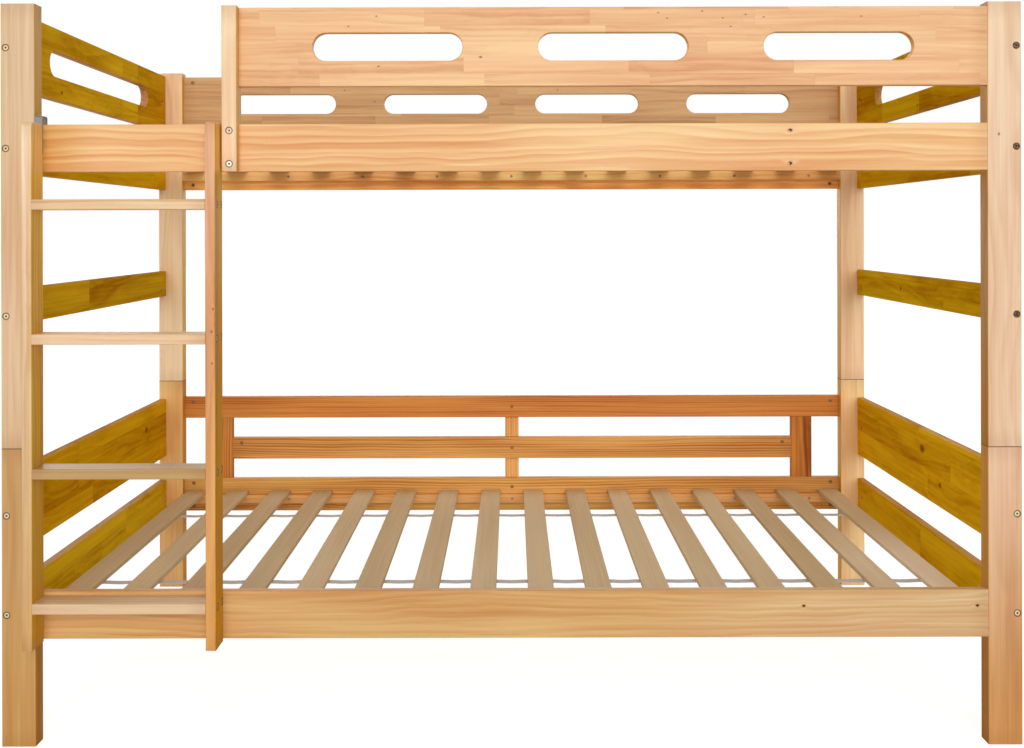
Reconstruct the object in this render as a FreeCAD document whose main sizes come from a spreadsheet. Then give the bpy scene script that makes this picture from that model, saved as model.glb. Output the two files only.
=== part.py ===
import FreeCAD, Part
import math
import os
import re
import Sketcher

# Bunk bed in solid pine for two mattresses of 1000 x 2000 mm. Millimetres, +Z up, floor at z = 0.
# X runs along the bed and Y from the ladder side to the wall side.
# The origin is the middle of the footprint, ladder and wall batten included.

os.makedirs("parts", exist_ok=True)
doc = FreeCAD.newDocument("bunk_bed")
sheet = doc.addObject("Spreadsheet::Sheet", "sizes")

SIZES = (
    ("bed_length", 2040, "over the posts"),
    ("bed_width", 1036, "front of the front posts to back of the back posts"),
    ("post_width", 68, "post section along the bed"),
    ("post_depth", 36, "post section across the bed"),
    ("lower_post_height", 595, "floor to the joint in the posts"),
    ("upper_post_height", 890, "joint to the top of the bed"),
    ("board_thick", 18, "side rails and guards"),
    ("end_thick", 20, "boards at the two ends"),
    ("ease", 2, "radius on the long edges of the timber"),
    ("rail_height", 95, "side and end rails"),
    ("lower_rail_base", 215, "floor to the lower rails"),
    ("end_board_height", 164, "head and foot boards"),
    ("end_board_drop", 52, "joint in the posts down to the head and foot boards"),
    ("middle_board_lift", 246, "joint in the posts up to the middle end boards"),
    ("middle_board_height", 72, "middle end boards"),
    ("middle_bolt_lift", 19, "bolt above the underside of a middle end board"),
    ("guard_drop", 9, "top of the posts down to the slotted guards"),
    ("guard_height", 158, "slotted guards"),
    ("guard_gap", 75, "upper rail up to the slotted guards"),
    ("slot_height", 56, "guard slots"),
    ("side_slot_length", 300, "slots in the front and back guards"),
    ("end_slot_length", 650, "slot in an end guard"),
    ("slot_bridge", 100, "least wood between two slots of a guard"),
    ("front_slot_margin", 146.5, "end of the open front guard to its first slot"),
    ("back_slot_margin", 142, "end of the back guard to its first slot"),
    ("upright_width", 30, "upright at the free end of the front guard"),
    ("upright_proud", 22, "how far it stands out from the guard"),
    ("upright_gap", 4, "ladder to that upright"),
    ("top_board_height", 62, "top board of the lower back guard"),
    ("top_board_drop", 48, "joint in the posts down to that board"),
    ("inner_board_height", 62, "middle board of the lower back guard"),
    ("inner_board_gap", 56, "rail up to that board"),
    ("end_batten_width", 60, "end battens of the lower back guard"),
    ("end_batten_in", 80, "post to end batten"),
    ("centre_batten_width", 39, "batten let into the backs of the lower boards"),
    ("centre_batten_thick", 9, "that batten"),
    ("centre_batten_stop", 15, "its ends inside the edges of the outer boards"),
    ("housing_play", 0.5, "round the let-in batten"),
    ("ledger_height", 25, "strip that carries the slats"),
    ("ledger_depth", 18, "that strip"),
    ("ledger_lift", 25, "its underside above the underside of the rail"),
    ("slat_width", 55, "slats"),
    ("slat_thick", 11, "slats"),
    ("slat_margin", 9.5, "first slat to the post"),
    ("slat_end_gap", 6, "slat end to rail"),
    ("strap_width", 21, "webbing strap"),
    ("strap_thick", 1.2, "webbing strap"),
    ("strap_end_in", 5, "strap end to the outer edge of the last slat"),
    ("front_strap_in", 203, "front of the bed to the middle of the front strap"),
    ("back_strap_in", 271, "back of the bed to the middle of the back strap"),
    ("bolt_shank", 6, "connector bolt"),
    ("bolt_head", 12.5, "its flat head"),
    ("bolt_head_thick", 2.5, "its flat head"),
    ("bolt_bury", 0.5, "head below the face of the timber"),
    ("head_play", 0.6, "radial play of that head in its seat"),
    ("socket_radius", 2.4, "corner radius of its hexagon socket"),
    ("socket_depth", 2, "hexagon socket"),
    ("bolt_beyond_nut", 8, "bolt end past the middle of its nut"),
    ("hole_play", 0.25, "radial play of a bolt, nut or screw in its hole"),
    ("rail_bolt_spread", 66, "between the two bolts of a rail end"),
    ("guard_bolt_spread", 125, "between the two bolts of a guard end"),
    ("top_bolt_drop", 16, "bolt below the upper edge of a back guard board"),
    ("nut_diameter", 10, "barrel nut"),
    ("nut_length", 14, "barrel nut"),
    ("nut_slot_width", 1.6, "driver slot of the barrel nut"),
    ("side_nut_in", 26, "end of a side board to its barrel nuts"),
    ("end_nut_in", 40, "end of an end board to its barrel nuts"),
    ("screw_shank", 4, "countersunk wood screw"),
    ("screw_head", 8, "countersunk wood screw"),
    ("screw_head_depth", 3, "countersunk wood screw"),
    ("screw_slot_width", 1.2, "arm of its cross recess"),
    ("screw_slot_depth", 1.6, "its cross recess"),
    ("ledger_screw_length", 25, "through the ledger into the rail"),
    ("ledger_screw_in", 92, "ledger end to its first screw"),
    ("guard_screw_length", 16, "through a lower back board into the centre batten"),
    ("rail_screw_lift", 68, "centre batten screw above the underside of the rail"),
    ("upright_screw_length", 36, "through the upright into the rail, or the guard into the upright"),
    ("spare_hole_lift", 63, "spare holes above the underside of the lower rail"),
    ("spare_hole_in", 22, "post to the first spare hole in the lower rail"),
    ("spare_hole_pitch", 347, "first to second spare hole in the lower rail"),
    ("dowel_diameter", 14, "dowel in the joint of a post"),
    ("dowel_length", 80, "half of it in each post"),
    ("dowel_play", 0.4, "radial play in the upper post"),
    ("dowel_end_gap", 2, "past its upper end"),
    ("ladder_lap", 3, "ladder past the inner face of the post"),
    ("ladder_width", 378, "over the stiles"),
    ("ladder_gap", 0.5, "ladder to the front of the rails"),
    ("stile_thick", 20, "ladder stiles"),
    ("stile_depth", 56, "ladder stiles and treads"),
    ("stile_hang", 3.5, "stile below the lower rail"),
    ("stile_over", 0.5, "stile above the upper rail"),
    ("stile_round", 12, "front corner at the top of a stile"),
    ("tread_thick", 20.5, "treads"),
    ("first_tread_lift", 71, "lower end of the stiles to the lowest tread"),
    ("top_tread_drop", 172, "top of the stiles to the highest tread"),
    ("tread_screw_in", 10, "back of the stile to the screw of a tread"),
    ("tread_screw_spread", 30, "between the two screws of a tread end"),
    ("tread_screw_length", 50, "through the stile into the tread"),
    ("hook_post_gap", 0.5, "left hook to the post"),
    ("hook_thick", 3, "steel hooks of the ladder"),
    ("hook_leg", 58, "leg let into the back of a stile"),
    ("hook_lip", 25, "lip below the top of the rail"),
    ("hook_play", 0.7, "lip to the back of the rail"),
    ("hook_bend", 5, "outer radius of its bends"),
    ("hook_screw_low", 12, "lower screw above the end of the leg"),
    ("hook_screw_spread", 30, "between the two screws of a hook"),
    ("hook_screw_length", 25, "into the stile"),
    ("pad_height", 14, "soft pad below the left hook"),
    ("pad_inset", 1, "edge of the hook to the edge of its pad"),
)

SLAT_COUNT = 16
TREAD_COUNT = 4
LEDGER_SCREW_COUNT = 9
HEXAGON = 6
QUARTER = math.pi / 2

for row, (alias, value, note) in enumerate(SIZES, 1):
    sheet.set(f"A{row}", alias)
    sheet.set(f"B{row}", str(value))
    sheet.set(f"C{row}", note)
    sheet.setAlias(f"B{row}", alias)
doc.recompute()

SIDES = ("left", "right")
ROWS = ("front", "back")
LEVELS = ("lower", "upper")

INWARD_X = {"left": FreeCAD.Vector(1, 0, 0), "right": FreeCAD.Vector(-1, 0, 0)}
INWARD_Y = {"front": FreeCAD.Vector(0, 1, 0), "back": FreeCAD.Vector(0, -1, 0)}
OTHER = {"left": "right", "right": "left", "front": "back", "back": "front"}

# Places that many pieces share. Y counts from the front face of the front posts.
FRONT_FACE = "-(bed_width - ladder_gap - stile_depth) / 2"
SIDE_LENGTH = "(bed_length - 2 * post_width)"
END_LENGTH = "(bed_width - 2 * post_depth)"
BED_TOP = "(lower_post_height + upper_post_height)"
GUARD_BASE = f"({BED_TOP} - guard_drop - guard_height)"
GUARD_MIDDLE = f"({GUARD_BASE} + guard_height / 2)"
RAIL_BASE = {"lower": "lower_rail_base", "upper": f"({GUARD_BASE} - guard_gap - rail_height)"}
RAIL_MIDDLE = {level: f"({base} + rail_height / 2)" for level, base in RAIL_BASE.items()}
RAIL_TOP = {level: f"({base} + rail_height)" for level, base in RAIL_BASE.items()}
END_BOARD_BASE = "(lower_post_height - end_board_drop - end_board_height)"
END_BOARD_BOLT = f"({END_BOARD_BASE} + end_board_height / 2)"
MIDDLE_BOARD_BASE = "(lower_post_height + middle_board_lift)"
MIDDLE_BOARD_BOLT = f"({MIDDLE_BOARD_BASE} + middle_bolt_lift)"
TOP_BOARD_BASE = "(lower_post_height - top_board_drop - top_board_height)"
TOP_BOARD_BOLT = f"({TOP_BOARD_BASE} + top_board_height - top_bolt_drop)"
INNER_BOARD_BASE = f"({RAIL_TOP['lower']} + inner_board_gap)"
INNER_BOARD_BOLT = f"({INNER_BOARD_BASE} + inner_board_height - top_bolt_drop)"
LADDER_OUTER = f"({SIDE_LENGTH} / 2 + ladder_lap)"
GUARD_START = f"({LADDER_OUTER} - ladder_width - upright_gap)"
UPRIGHT_MIDDLE = f"({GUARD_START} - upright_width / 2)"
STILE_BASE = "(lower_rail_base - stile_hang)"
STILE_HEIGHT = f"({RAIL_TOP['upper']} + stile_over - {STILE_BASE})"
HOOK_FOOT = f"({STILE_BASE} + {STILE_HEIGHT} - hook_leg)"
SLAT_PITCH = f"(({SIDE_LENGTH} - 2 * slat_margin - slat_width) / {SLAT_COUNT - 1})"
BORE = "(bolt_shank + 2 * hole_play)"
SCREW_BORE = "(screw_shank + 2 * hole_play)"

pieces = []
hardware = {}


def cells(text):
    """Writes an expression on the aliases as one on the cells of the sheet."""
    return re.sub(r"[a-z_]+", r"sizes.\g<0>", text)


def number(text):
    return float(sheet.evalExpression(cells(text)))


def bind(thing, values):
    for name, text in values.items():
        thing.setExpression(name, cells(text))


def place(thing, at):
    """Puts a piece at (x, y, z), with y from the front face of the bed."""
    x, y, z = at
    bind(thing, {
        "Placement.Base.x": x,
        "Placement.Base.y": f"{FRONT_FACE} + {y}",
        "Placement.Base.z": z,
    })


def point(x, y, z):
    return FreeCAD.Vector(number(x), number(f"{FRONT_FACE} + {y}"), number(z))


def pair(middle, spread):
    return [f"{middle} - {spread} / 2", f"{middle} + {spread} / 2"]


def plane_of(body, role):
    return next(item for item in body.Origin.OriginFeatures if item.Role == role + "_Plane")


def new_sketch(body, role, offset="0"):
    sketch = body.newObject("Sketcher::SketchObject", "outline")
    sketch.AttachmentSupport = (plane_of(body, role), "")
    sketch.MapMode = "FlatFace"
    bind(sketch, {"AttachmentOffset.Base.z": offset})
    return sketch


def fix(sketch, kind, *where):
    """Adds a dimension whose value is an expression on the sheet."""
    *points, text = where
    index = sketch.addConstraint(Sketcher.Constraint(kind, *points, number(text)))
    bind(sketch, {f"Constraints[{index}]": text})


def outline(sketch, corners):
    """Draws a closed outline of straight lines through the corners."""
    spots = [FreeCAD.Vector(number(u), number(v), 0) for u, v in corners]
    lines = [sketch.addGeometry(Part.LineSegment(start, end))
             for start, end in zip(spots, spots[1:] + spots[:1])]
    for line, following in zip(lines, lines[1:] + lines[:1]):
        sketch.addConstraint(Sketcher.Constraint("Coincident", line, 2, following, 1))
    for line, (u, v) in zip(lines, corners):
        fix(sketch, "DistanceX", -1, 1, line, 1, u)
        fix(sketch, "DistanceY", -1, 1, line, 1, v)


def rectangle(sketch, wide, high, at=("0", "0")):
    u, v = at
    outline(sketch, [(u, v), (f"{u} + {wide}", v), (f"{u} + {wide}", f"{v} + {high}"), (u, f"{v} + {high}")])


def slot(sketch, centre, length):
    """Draws one long hole with round ends about its centre."""
    u, v = centre
    near = f"{u} - ({length} - slot_height) / 2"
    radius = number("slot_height / 2")
    up = FreeCAD.Vector(0, 0, 1)
    first = FreeCAD.Vector(number(near), number(v), 0)
    second = first + FreeCAD.Vector(number(f"{length} - slot_height"), 0, 0)
    rise = FreeCAD.Vector(0, radius, 0)
    left = sketch.addGeometry(Part.ArcOfCircle(Part.Circle(first, up, radius), QUARTER, 3 * QUARTER))
    low = sketch.addGeometry(Part.LineSegment(first - rise, second - rise))
    right = sketch.addGeometry(Part.ArcOfCircle(Part.Circle(second, up, radius), -QUARTER, QUARTER))
    top = sketch.addGeometry(Part.LineSegment(second + rise, first + rise))
    for line, end, following in ((left, 2, low), (low, 2, right), (right, 2, top), (top, 2, left)):
        sketch.addConstraint(Sketcher.Constraint("Tangent", line, end, following, 1))
    sketch.addConstraint(Sketcher.Constraint("Equal", left, right))
    sketch.addConstraint(Sketcher.Constraint("Horizontal", left, 3, right, 3))
    fix(sketch, "DistanceX", -1, 1, left, 3, near)
    fix(sketch, "DistanceY", -1, 1, left, 3, v)
    fix(sketch, "DistanceX", left, 3, right, 3, f"{length} - slot_height")
    fix(sketch, "Radius", left, "slot_height / 2")


class Timber:
    """One sawn piece of wood, with its grain along its longer side, and the holes drilled in it."""

    AXES = {"XZ": ("x", "z", "y"), "YZ": ("y", "z", "x"), "XY": ("x", "y", "z")}

    def __init__(self, label, role, wide, high, thick, at, slots=(), profile=(), rounded=None):
        self.body = doc.addObject("PartDesign::Body", label)
        self.body.Label = label
        self.size = dict(zip(self.AXES[role], (wide, high, thick)))
        self.at = at
        sketch = new_sketch(self.body, role)
        if profile:
            outline(sketch, profile)
        else:
            rectangle(sketch, wide, high)
        for centre, length in slots:
            slot(sketch, centre, length)
        pad = self.body.newObject("PartDesign::Pad", "sawn")
        pad.Profile = sketch
        pad.Reversed = role == "XZ"
        bind(pad, {"Length": thick})
        place(self.body, at)
        doc.recompute()
        if rounded:
            round_corners(self.body, [rounded], "stile_round")
        self.soften(role, max(wide, high, key=number) == wide)
        pieces.append(self.body)

    def soften(self, role, grain_wide):
        """Rounds the edges along the grain and round the slots, and leaves the end grain square."""
        across = "xyz".index(self.AXES[role][2])
        along = "xyz".index(self.AXES[role][0 if grain_wide else 1])
        reach = number(self.size["xyz"[along]])
        small = number("ease")
        square = self.body.Tip
        chosen = []
        for index, edge in enumerate(square.Shape.Edges, 1):
            box = edge.BoundBox
            low = (box.XMin, box.YMin, box.ZMin)
            high = (box.XMax, box.YMax, box.ZMax)
            through = high[across] - low[across] > small
            at_end = high[along] < small or low[along] > reach - small
            if not through and not at_end:
                chosen.append(f"Edge{index}")
        fillet = self.body.newObject("PartDesign::Fillet", "eased")
        fillet.Base = (square, chosen)
        bind(fillet, {"Radius": "ease"})
        doc.recompute()

    def cut(self, face, draw, depth):
        """Cuts what draw puts on a sketch into a face, and makes sure that wood has gone."""
        role, offset, turned = {
            "front": ("XZ", "0", False),
            "back": ("XZ", f"-{self.size['y']}", True),
            "left": ("YZ", "0", True),
            "right": ("YZ", self.size["x"], False),
            "bottom": ("XY", "0", True),
            "top": ("XY", self.size["z"], False),
        }[face]
        before = self.body.Shape.Volume
        sketch = new_sketch(self.body, role, offset)
        draw(sketch)
        pocket = self.body.newObject("PartDesign::Pocket", "cut")
        pocket.Profile = sketch
        pocket.Reversed = turned
        bind(pocket, {"Length": depth})
        doc.recompute()
        if not self.body.Shape.Volume < before:
            raise ValueError(f"nothing was cut from the {face} of {self.body.Label}")

    def drill(self, face, spots, bore, depth):
        """Drills equal holes into a face; the spots are places on that face of the piece."""
        def circles(sketch):
            drawn = []
            for u, v in spots:
                centre = FreeCAD.Vector(number(u), number(v), 0)
                circle = Part.Circle(centre, FreeCAD.Vector(0, 0, 1), number(bore) / 2)
                drawn.append(sketch.addGeometry(circle))
                fix(sketch, "DistanceX", -1, 1, drawn[-1], 3, u)
                fix(sketch, "DistanceY", -1, 1, drawn[-1], 3, v)
            for later in drawn[1:]:
                sketch.addConstraint(Sketcher.Constraint("Equal", drawn[0], later))
            fix(sketch, "Diameter", drawn[0], bore)
        self.cut(face, circles, depth)

    def bolt_seats(self, face, spots, through):
        """Drills for bolts right through the piece, with a seat for each head."""
        self.drill(face, spots, BORE, through)
        self.drill(face, spots, "bolt_head + 2 * head_play", "bolt_bury + bolt_head_thick")

    def screw_seats(self, face, spots, through):
        self.drill(face, spots, SCREW_BORE, through)
        self.drill(face, spots, "screw_head + 2 * hole_play", "screw_head_depth")

    def local(self, height):
        return f"{height} - ({self.at[2]})"


def fit(label, kind, origin, way, cross=None):
    """Notes a fastener at a point, pointing along way, with its cross hole along cross."""
    if cross is None:
        turn = FreeCAD.Rotation(FreeCAD.Vector(0, 0, 1), way)
    else:
        turn = FreeCAD.Rotation(cross, FreeCAD.Vector(0, 0, 0), way, "ZXY")
    hardware.setdefault(label, []).append((kind, FreeCAD.Placement(origin, turn)))


def nut_joint(board, level, end, inner, heights, setback):
    """Drills a board's end grain for bolts and its inner face for their barrel nuts."""
    along_x = end in SIDES
    grain, across = ("x", "y") if along_x else ("y", "x")
    thick = board.size[across]
    run = setback if end in ("left", "front") else f"{board.size[grain]} - {setback}"
    ends = [(f"{thick} / 2", board.local(height)) for height in heights]
    faces = [(run, board.local(height)) for height in heights]
    board.drill(end, ends, BORE, f"{setback} + bolt_beyond_nut + hole_play")
    board.drill(inner, faces, "nut_diameter + 2 * hole_play", f"({thick} + nut_length) / 2 + hole_play")
    way = (INWARD_Y if along_x else INWARD_X)[inner]
    cross = (INWARD_X if along_x else INWARD_Y)[end]
    for height in heights:
        if along_x:
            middle = point(f"{board.at[0]} + {run}", f"{board.at[1]} + {thick} / 2", height)
        else:
            middle = point(f"{board.at[0]} + {thick} / 2", f"{board.at[1]} + {run}", height)
        fit(f"{level}_barrel_nuts", "nut", middle, way, cross)


def post(level, row, side):
    """Makes a corner post with its bolt seats and its half of the dowel joint."""
    base = "0" if level == "lower" else "lower_post_height"
    height = f"{level}_post_height"
    x = "-bed_length / 2" if side == "left" else "bed_length / 2 - post_width"
    y = "0" if row == "front" else "bed_width - post_depth"
    timber = Timber(f"{level}_{row}_{side}_post", "XZ", "post_width", height, "post_depth", (x, y, base))

    end_bolts = [RAIL_MIDDLE[level]]
    side_bolts = pair(RAIL_MIDDLE[level], "rail_bolt_spread")
    if level == "lower":
        end_bolts.append(END_BOARD_BOLT)
        if row == "back":
            side_bolts.append(TOP_BOARD_BOLT)
    else:
        end_bolts += [MIDDLE_BOARD_BOLT, GUARD_MIDDLE]
        if (row, side) != ("front", "left"):
            side_bolts += pair(GUARD_MIDDLE, "guard_bolt_spread")

    in_x = "end_thick / 2" if side == "left" else "post_width - end_thick / 2"
    in_y = "board_thick / 2" if row == "front" else "post_depth - board_thick / 2"
    timber.bolt_seats(row, [(in_x, timber.local(height)) for height in end_bolts], "post_depth")
    timber.bolt_seats(side, [(in_y, timber.local(height)) for height in side_bolts], "post_width")
    outer_x = "(-bed_length / 2 + bolt_bury)" if side == "left" else "(bed_length / 2 - bolt_bury)"
    outer_y = "bolt_bury" if row == "front" else "bed_width - bolt_bury"
    for height in end_bolts:
        fit(f"{level}_end_bolts", "end_bolt", point(f"{x} + {in_x}", outer_y, height), INWARD_Y[row])
    for height in side_bolts:
        fit(f"{level}_side_bolts", "side_bolt", point(outer_x, f"{y} + {in_y}", height), INWARD_X[side])

    middle = [("post_width / 2", "post_depth / 2")]
    if level == "lower":
        timber.drill("top", middle, "dowel_diameter + 2 * hole_play", "dowel_length / 2")
        foot = point(f"{x} + post_width / 2", f"{y} + post_depth / 2", "lower_post_height - dowel_length / 2")
        fit("post_dowels", "dowel", foot, FreeCAD.Vector(0, 0, 1))
    else:
        timber.drill("bottom", middle, "dowel_diameter + 2 * dowel_play", "dowel_length / 2 + dowel_end_gap")


def row_place(row, thick):
    return "0" if row == "front" else f"bed_width - {thick}"


def side_board(label, level, row, base, height, bolts, slots=()):
    """Makes a board from post to post along the bed, bolted at both ends."""
    at = ("post_width - bed_length / 2", row_place(row, "board_thick"), base)
    board = Timber(label, "XZ", SIDE_LENGTH, height, "board_thick", at, slots)
    for side in SIDES:
        nut_joint(board, level, side, OTHER[row], bolts, "side_nut_in")
    return board


def rail_and_ledger(level, row):
    """Makes a side rail and the strip screwed inside it, on which the slats lie."""
    inner = OTHER[row]
    base = RAIL_BASE[level]
    rail = side_board(f"{level}_{row}_rail", level, row, base, "rail_height",
                      pair(RAIL_MIDDLE[level], "rail_bolt_spread"))
    pitch = f"({SIDE_LENGTH} - 2 * ledger_screw_in) / {LEDGER_SCREW_COUNT - 1}"
    screws = [f"ledger_screw_in + {step} * {pitch}" for step in range(LEDGER_SCREW_COUNT)]
    screw_height = "ledger_lift + ledger_height / 2"
    rail.drill(inner, [(x, screw_height) for x in screws], SCREW_BORE,
               "ledger_screw_length - ledger_depth + hole_play")

    y = "board_thick" if row == "front" else "bed_width - board_thick - ledger_depth"
    at = ("post_width - bed_length / 2", y, f"{base} + ledger_lift")
    ledger = Timber(f"{level}_{row}_ledger", "XZ", SIDE_LENGTH, "ledger_height", "ledger_depth", at)
    ledger.screw_seats(inner, [(x, "ledger_height / 2") for x in screws], "ledger_depth")
    face = "board_thick + ledger_depth" if row == "front" else y
    for x in screws:
        origin = point(f"{at[0]} + {x}", face, f"{base} + {screw_height}")
        fit(f"{level}_ledger_screws", "ledger_screw", origin, INWARD_Y[inner])
    return rail


def end_board(label, level, side, base, height, bolt, slots=()):
    """Makes a board across the bed between a front and a back post."""
    x = "-bed_length / 2" if side == "left" else "bed_length / 2 - end_thick"
    board = Timber(label, "YZ", END_LENGTH, height, "end_thick", (x, "post_depth", base), slots)
    for row in ROWS:
        nut_joint(board, level, row, OTHER[side], [bolt], "end_nut_in")


def spread_slots(first, last):
    """Spreads slots evenly from first to last, as many as leave enough wood between them."""
    run = f"({last} - {first})"
    count = int(number(f"({run} + slot_bridge) / (side_slot_length + slot_bridge)"))
    middles = [f"({first} + {last}) / 2"]
    if count > 1:
        step = f"({run} - side_slot_length) / {count - 1}"
        middles = [f"{first} + side_slot_length / 2 + {place_number} * {step}"
                   for place_number in range(count)]
    return [((middle, "guard_height / 2"), "side_slot_length") for middle in middles]


def upper_guards():
    """Makes the back guard, the short front guard and the upright that carries its free end."""
    bolts = pair(GUARD_MIDDLE, "guard_bolt_spread")
    back_slots = spread_slots("back_slot_margin", f"({SIDE_LENGTH} - back_slot_margin)")
    side_board("upper_back_guard", "upper", "back", GUARD_BASE, "guard_height", bolts, back_slots)

    length = f"({SIDE_LENGTH} / 2 + {GUARD_START})"
    front_slots = spread_slots("(upright_width + front_slot_margin)", f"({length} - front_slot_margin)")
    guard = Timber("upper_front_guard", "XZ", length, "guard_height", "board_thick",
                   (f"-{GUARD_START}", "0", GUARD_BASE), front_slots)
    nut_joint(guard, "upper", "right", "back", bolts, "side_nut_in")

    rail_base = RAIL_BASE["upper"]
    reach = "(rail_height + guard_gap + guard_height)"
    gap_top = "(rail_height + guard_gap)"
    deep = "(upright_proud + board_thick)"
    shape = [("0", "0"), ("upright_proud", "0"), ("upright_proud", "rail_height"), (deep, "rail_height"),
             (deep, gap_top), ("upright_proud", gap_top), ("upright_proud", reach), ("0", reach)]
    upright = Timber("front_guard_upright", "YZ", deep, reach, "upright_width",
                     (f"-{GUARD_START}", "-upright_proud", rail_base), profile=shape)

    rail_spots = pair(RAIL_MIDDLE["upper"], "rail_bolt_spread")
    upright.bolt_seats("front", [("upright_width / 2", upright.local(height)) for height in rail_spots],
                       "upright_proud")
    into_upright = "upright_screw_length + bolt_bury + hole_play"
    upright.drill("back", [("upright_width / 2", upright.local(height)) for height in bolts],
                  BORE, into_upright)
    guard.bolt_seats("back", [("upright_width / 2", guard.local(height)) for height in bolts], "board_thick")
    x = f"-{UPRIGHT_MIDDLE}"
    for height in rail_spots:
        head = point(x, "bolt_bury - upright_proud", height)
        fit("upright_screws", "upright_screw", head, INWARD_Y["front"])
    for height in bolts:
        head = point(x, "board_thick - bolt_bury", height)
        fit("upright_screws", "upright_screw", head, INWARD_Y["back"])


def drill_spare_holes(upper_rail, lower_rail):
    """Drills the holes that let guard and ladder change sides."""
    middle = f"{SIDE_LENGTH} / 2"
    heights = pair("rail_height / 2", "rail_bolt_spread")
    places = [(f"{middle} + {way} * {UPRIGHT_MIDDLE}", height) for way in (-1, 1) for height in heights]
    upper_rail.drill("front", places, BORE, "board_thick")
    outer = f"{SIDE_LENGTH} - spare_hole_in"
    places = [(outer, "spare_hole_lift"), (f"{outer} - spare_hole_pitch", "spare_hole_lift")]
    lower_rail.drill("front", places, SCREW_BORE, "board_thick")


def lower_back_guard(rail):
    """Makes the open guard at the back of the lower bed."""
    top = side_board("lower_guard_top_board", "lower", "back", TOP_BOARD_BASE, "top_board_height",
                     [TOP_BOARD_BOLT])
    y = row_place("back", "board_thick")
    outer = f"({SIDE_LENGTH} / 2 - end_batten_in)"
    inside = f"({outer} - end_batten_width)"
    inner = Timber("lower_guard_middle_board", "XZ", f"(2 * {inside})", "inner_board_height",
                   "board_thick", (f"-{inside}", y, INNER_BOARD_BASE))
    foot = RAIL_TOP["lower"]
    for side in SIDES:
        nut_joint(inner, "lower", side, "front", [INNER_BOARD_BOLT], "side_nut_in")
        x = f"-{outer}" if side == "left" else inside
        batten = Timber(f"lower_guard_{side}_batten", "XZ", "end_batten_width",
                        f"({TOP_BOARD_BASE} - {foot})", "board_thick", (x, y, foot))
        batten.bolt_seats(side, [("board_thick / 2", batten.local(INNER_BOARD_BOLT))], "end_batten_width")
        head = f"(bolt_bury - {outer})" if side == "left" else f"({outer} - bolt_bury)"
        fit("lower_side_bolts", "guard_bolt", point(head, f"{y} + board_thick / 2", INNER_BOARD_BOLT),
            INWARD_X[side])

    low = f"({foot} - rail_height + centre_batten_stop)"
    high = f"({TOP_BOARD_BASE} + top_board_height - centre_batten_stop)"
    at = ("-centre_batten_width / 2", "bed_width - centre_batten_thick", low)
    batten = Timber("lower_guard_centre_batten", "XZ", "centre_batten_width", f"({high} - {low})",
                    "centre_batten_thick", at)
    housing = "(centre_batten_width + 2 * housing_play)"
    screws = ((rail, f"({foot} - rail_height + rail_screw_lift)", low, foot),
              (inner, f"({INNER_BOARD_BASE} + inner_board_height / 2)", INNER_BOARD_BASE,
               f"({INNER_BOARD_BASE} + inner_board_height)"),
              (top, f"({TOP_BOARD_BASE} + top_board_height / 2)", TOP_BOARD_BASE, high))
    for board, height, start, stop in screws:
        corner = (f"({board.size['x']} - {housing}) / 2", f"{board.local(start)}")
        if start == low:
            corner = (corner[0], f"{board.local(start)} - housing_play")
        tall = f"({stop} - {start})" if board is inner else f"({stop} - {start} + housing_play)"
        board.cut("back", lambda sketch: rectangle(sketch, housing, tall, corner), "centre_batten_thick")
        board.screw_seats("front", [(f"{board.size['x']} / 2", board.local(height))], "board_thick")
        fit("lower_guard_screws", "guard_screw", point("0", y, height), INWARD_Y["front"])
    depth = "guard_screw_length - (board_thick - centre_batten_thick) + hole_play"
    heights = [batten.local(height) for board, height, start, stop in screws]
    batten.drill("front", [("centre_batten_width / 2", height) for height in heights], SCREW_BORE, depth)


def primitive(kind, name, values):
    thing = doc.addObject(kind, name)
    bind(thing, values)
    return thing


def united(name, first, second):
    result = doc.addObject("Part::Fuse", name)
    result.Base = first
    result.Tool = second
    return result


def less(name, first, second):
    result = doc.addObject("Part::Cut", name)
    result.Base = first
    result.Tool = second
    return result


def bolt(name, length):
    """Makes a flat-headed bolt with a hexagon socket; it points along Z from the top of its head."""
    head = primitive("Part::Cylinder", name + "_head", {
        "Radius": "bolt_head / 2", "Height": "bolt_head_thick"})
    shank = primitive("Part::Cylinder", name + "_shank", {
        "Radius": "bolt_shank / 2", "Height": length})
    socket = primitive("Part::Prism", name + "_socket", {
        "Circumradius": "socket_radius", "Height": "socket_depth"})
    socket.Polygon = HEXAGON
    return less(name, united(name + "_blank", head, shank), socket)


def screw(name, length):
    """Makes a countersunk screw with a cross recess; it points along Z from the top of its head."""
    cone = primitive("Part::Cone", name + "_head", {
        "Radius1": "screw_head / 2", "Radius2": "screw_shank / 2", "Height": "screw_head_depth"})
    shank = primitive("Part::Cylinder", name + "_shank", {"Radius": "screw_shank / 2", "Height": length})
    arms = []
    for turn, (across, along) in enumerate((("Length", "Width"), ("Width", "Length"))):
        arms.append(primitive("Part::Box", f"{name}_arm_{turn}", {
            across: "screw_slot_width", along: "screw_head / 2", "Height": "screw_slot_depth",
            "Placement.Base." + "xy"[turn]: "-screw_slot_width / 2",
            "Placement.Base." + "yx"[turn]: "-screw_head / 4"}))
    return less(name, united(name + "_blank", cone, shank), united(name + "_cross", *arms))


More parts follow.
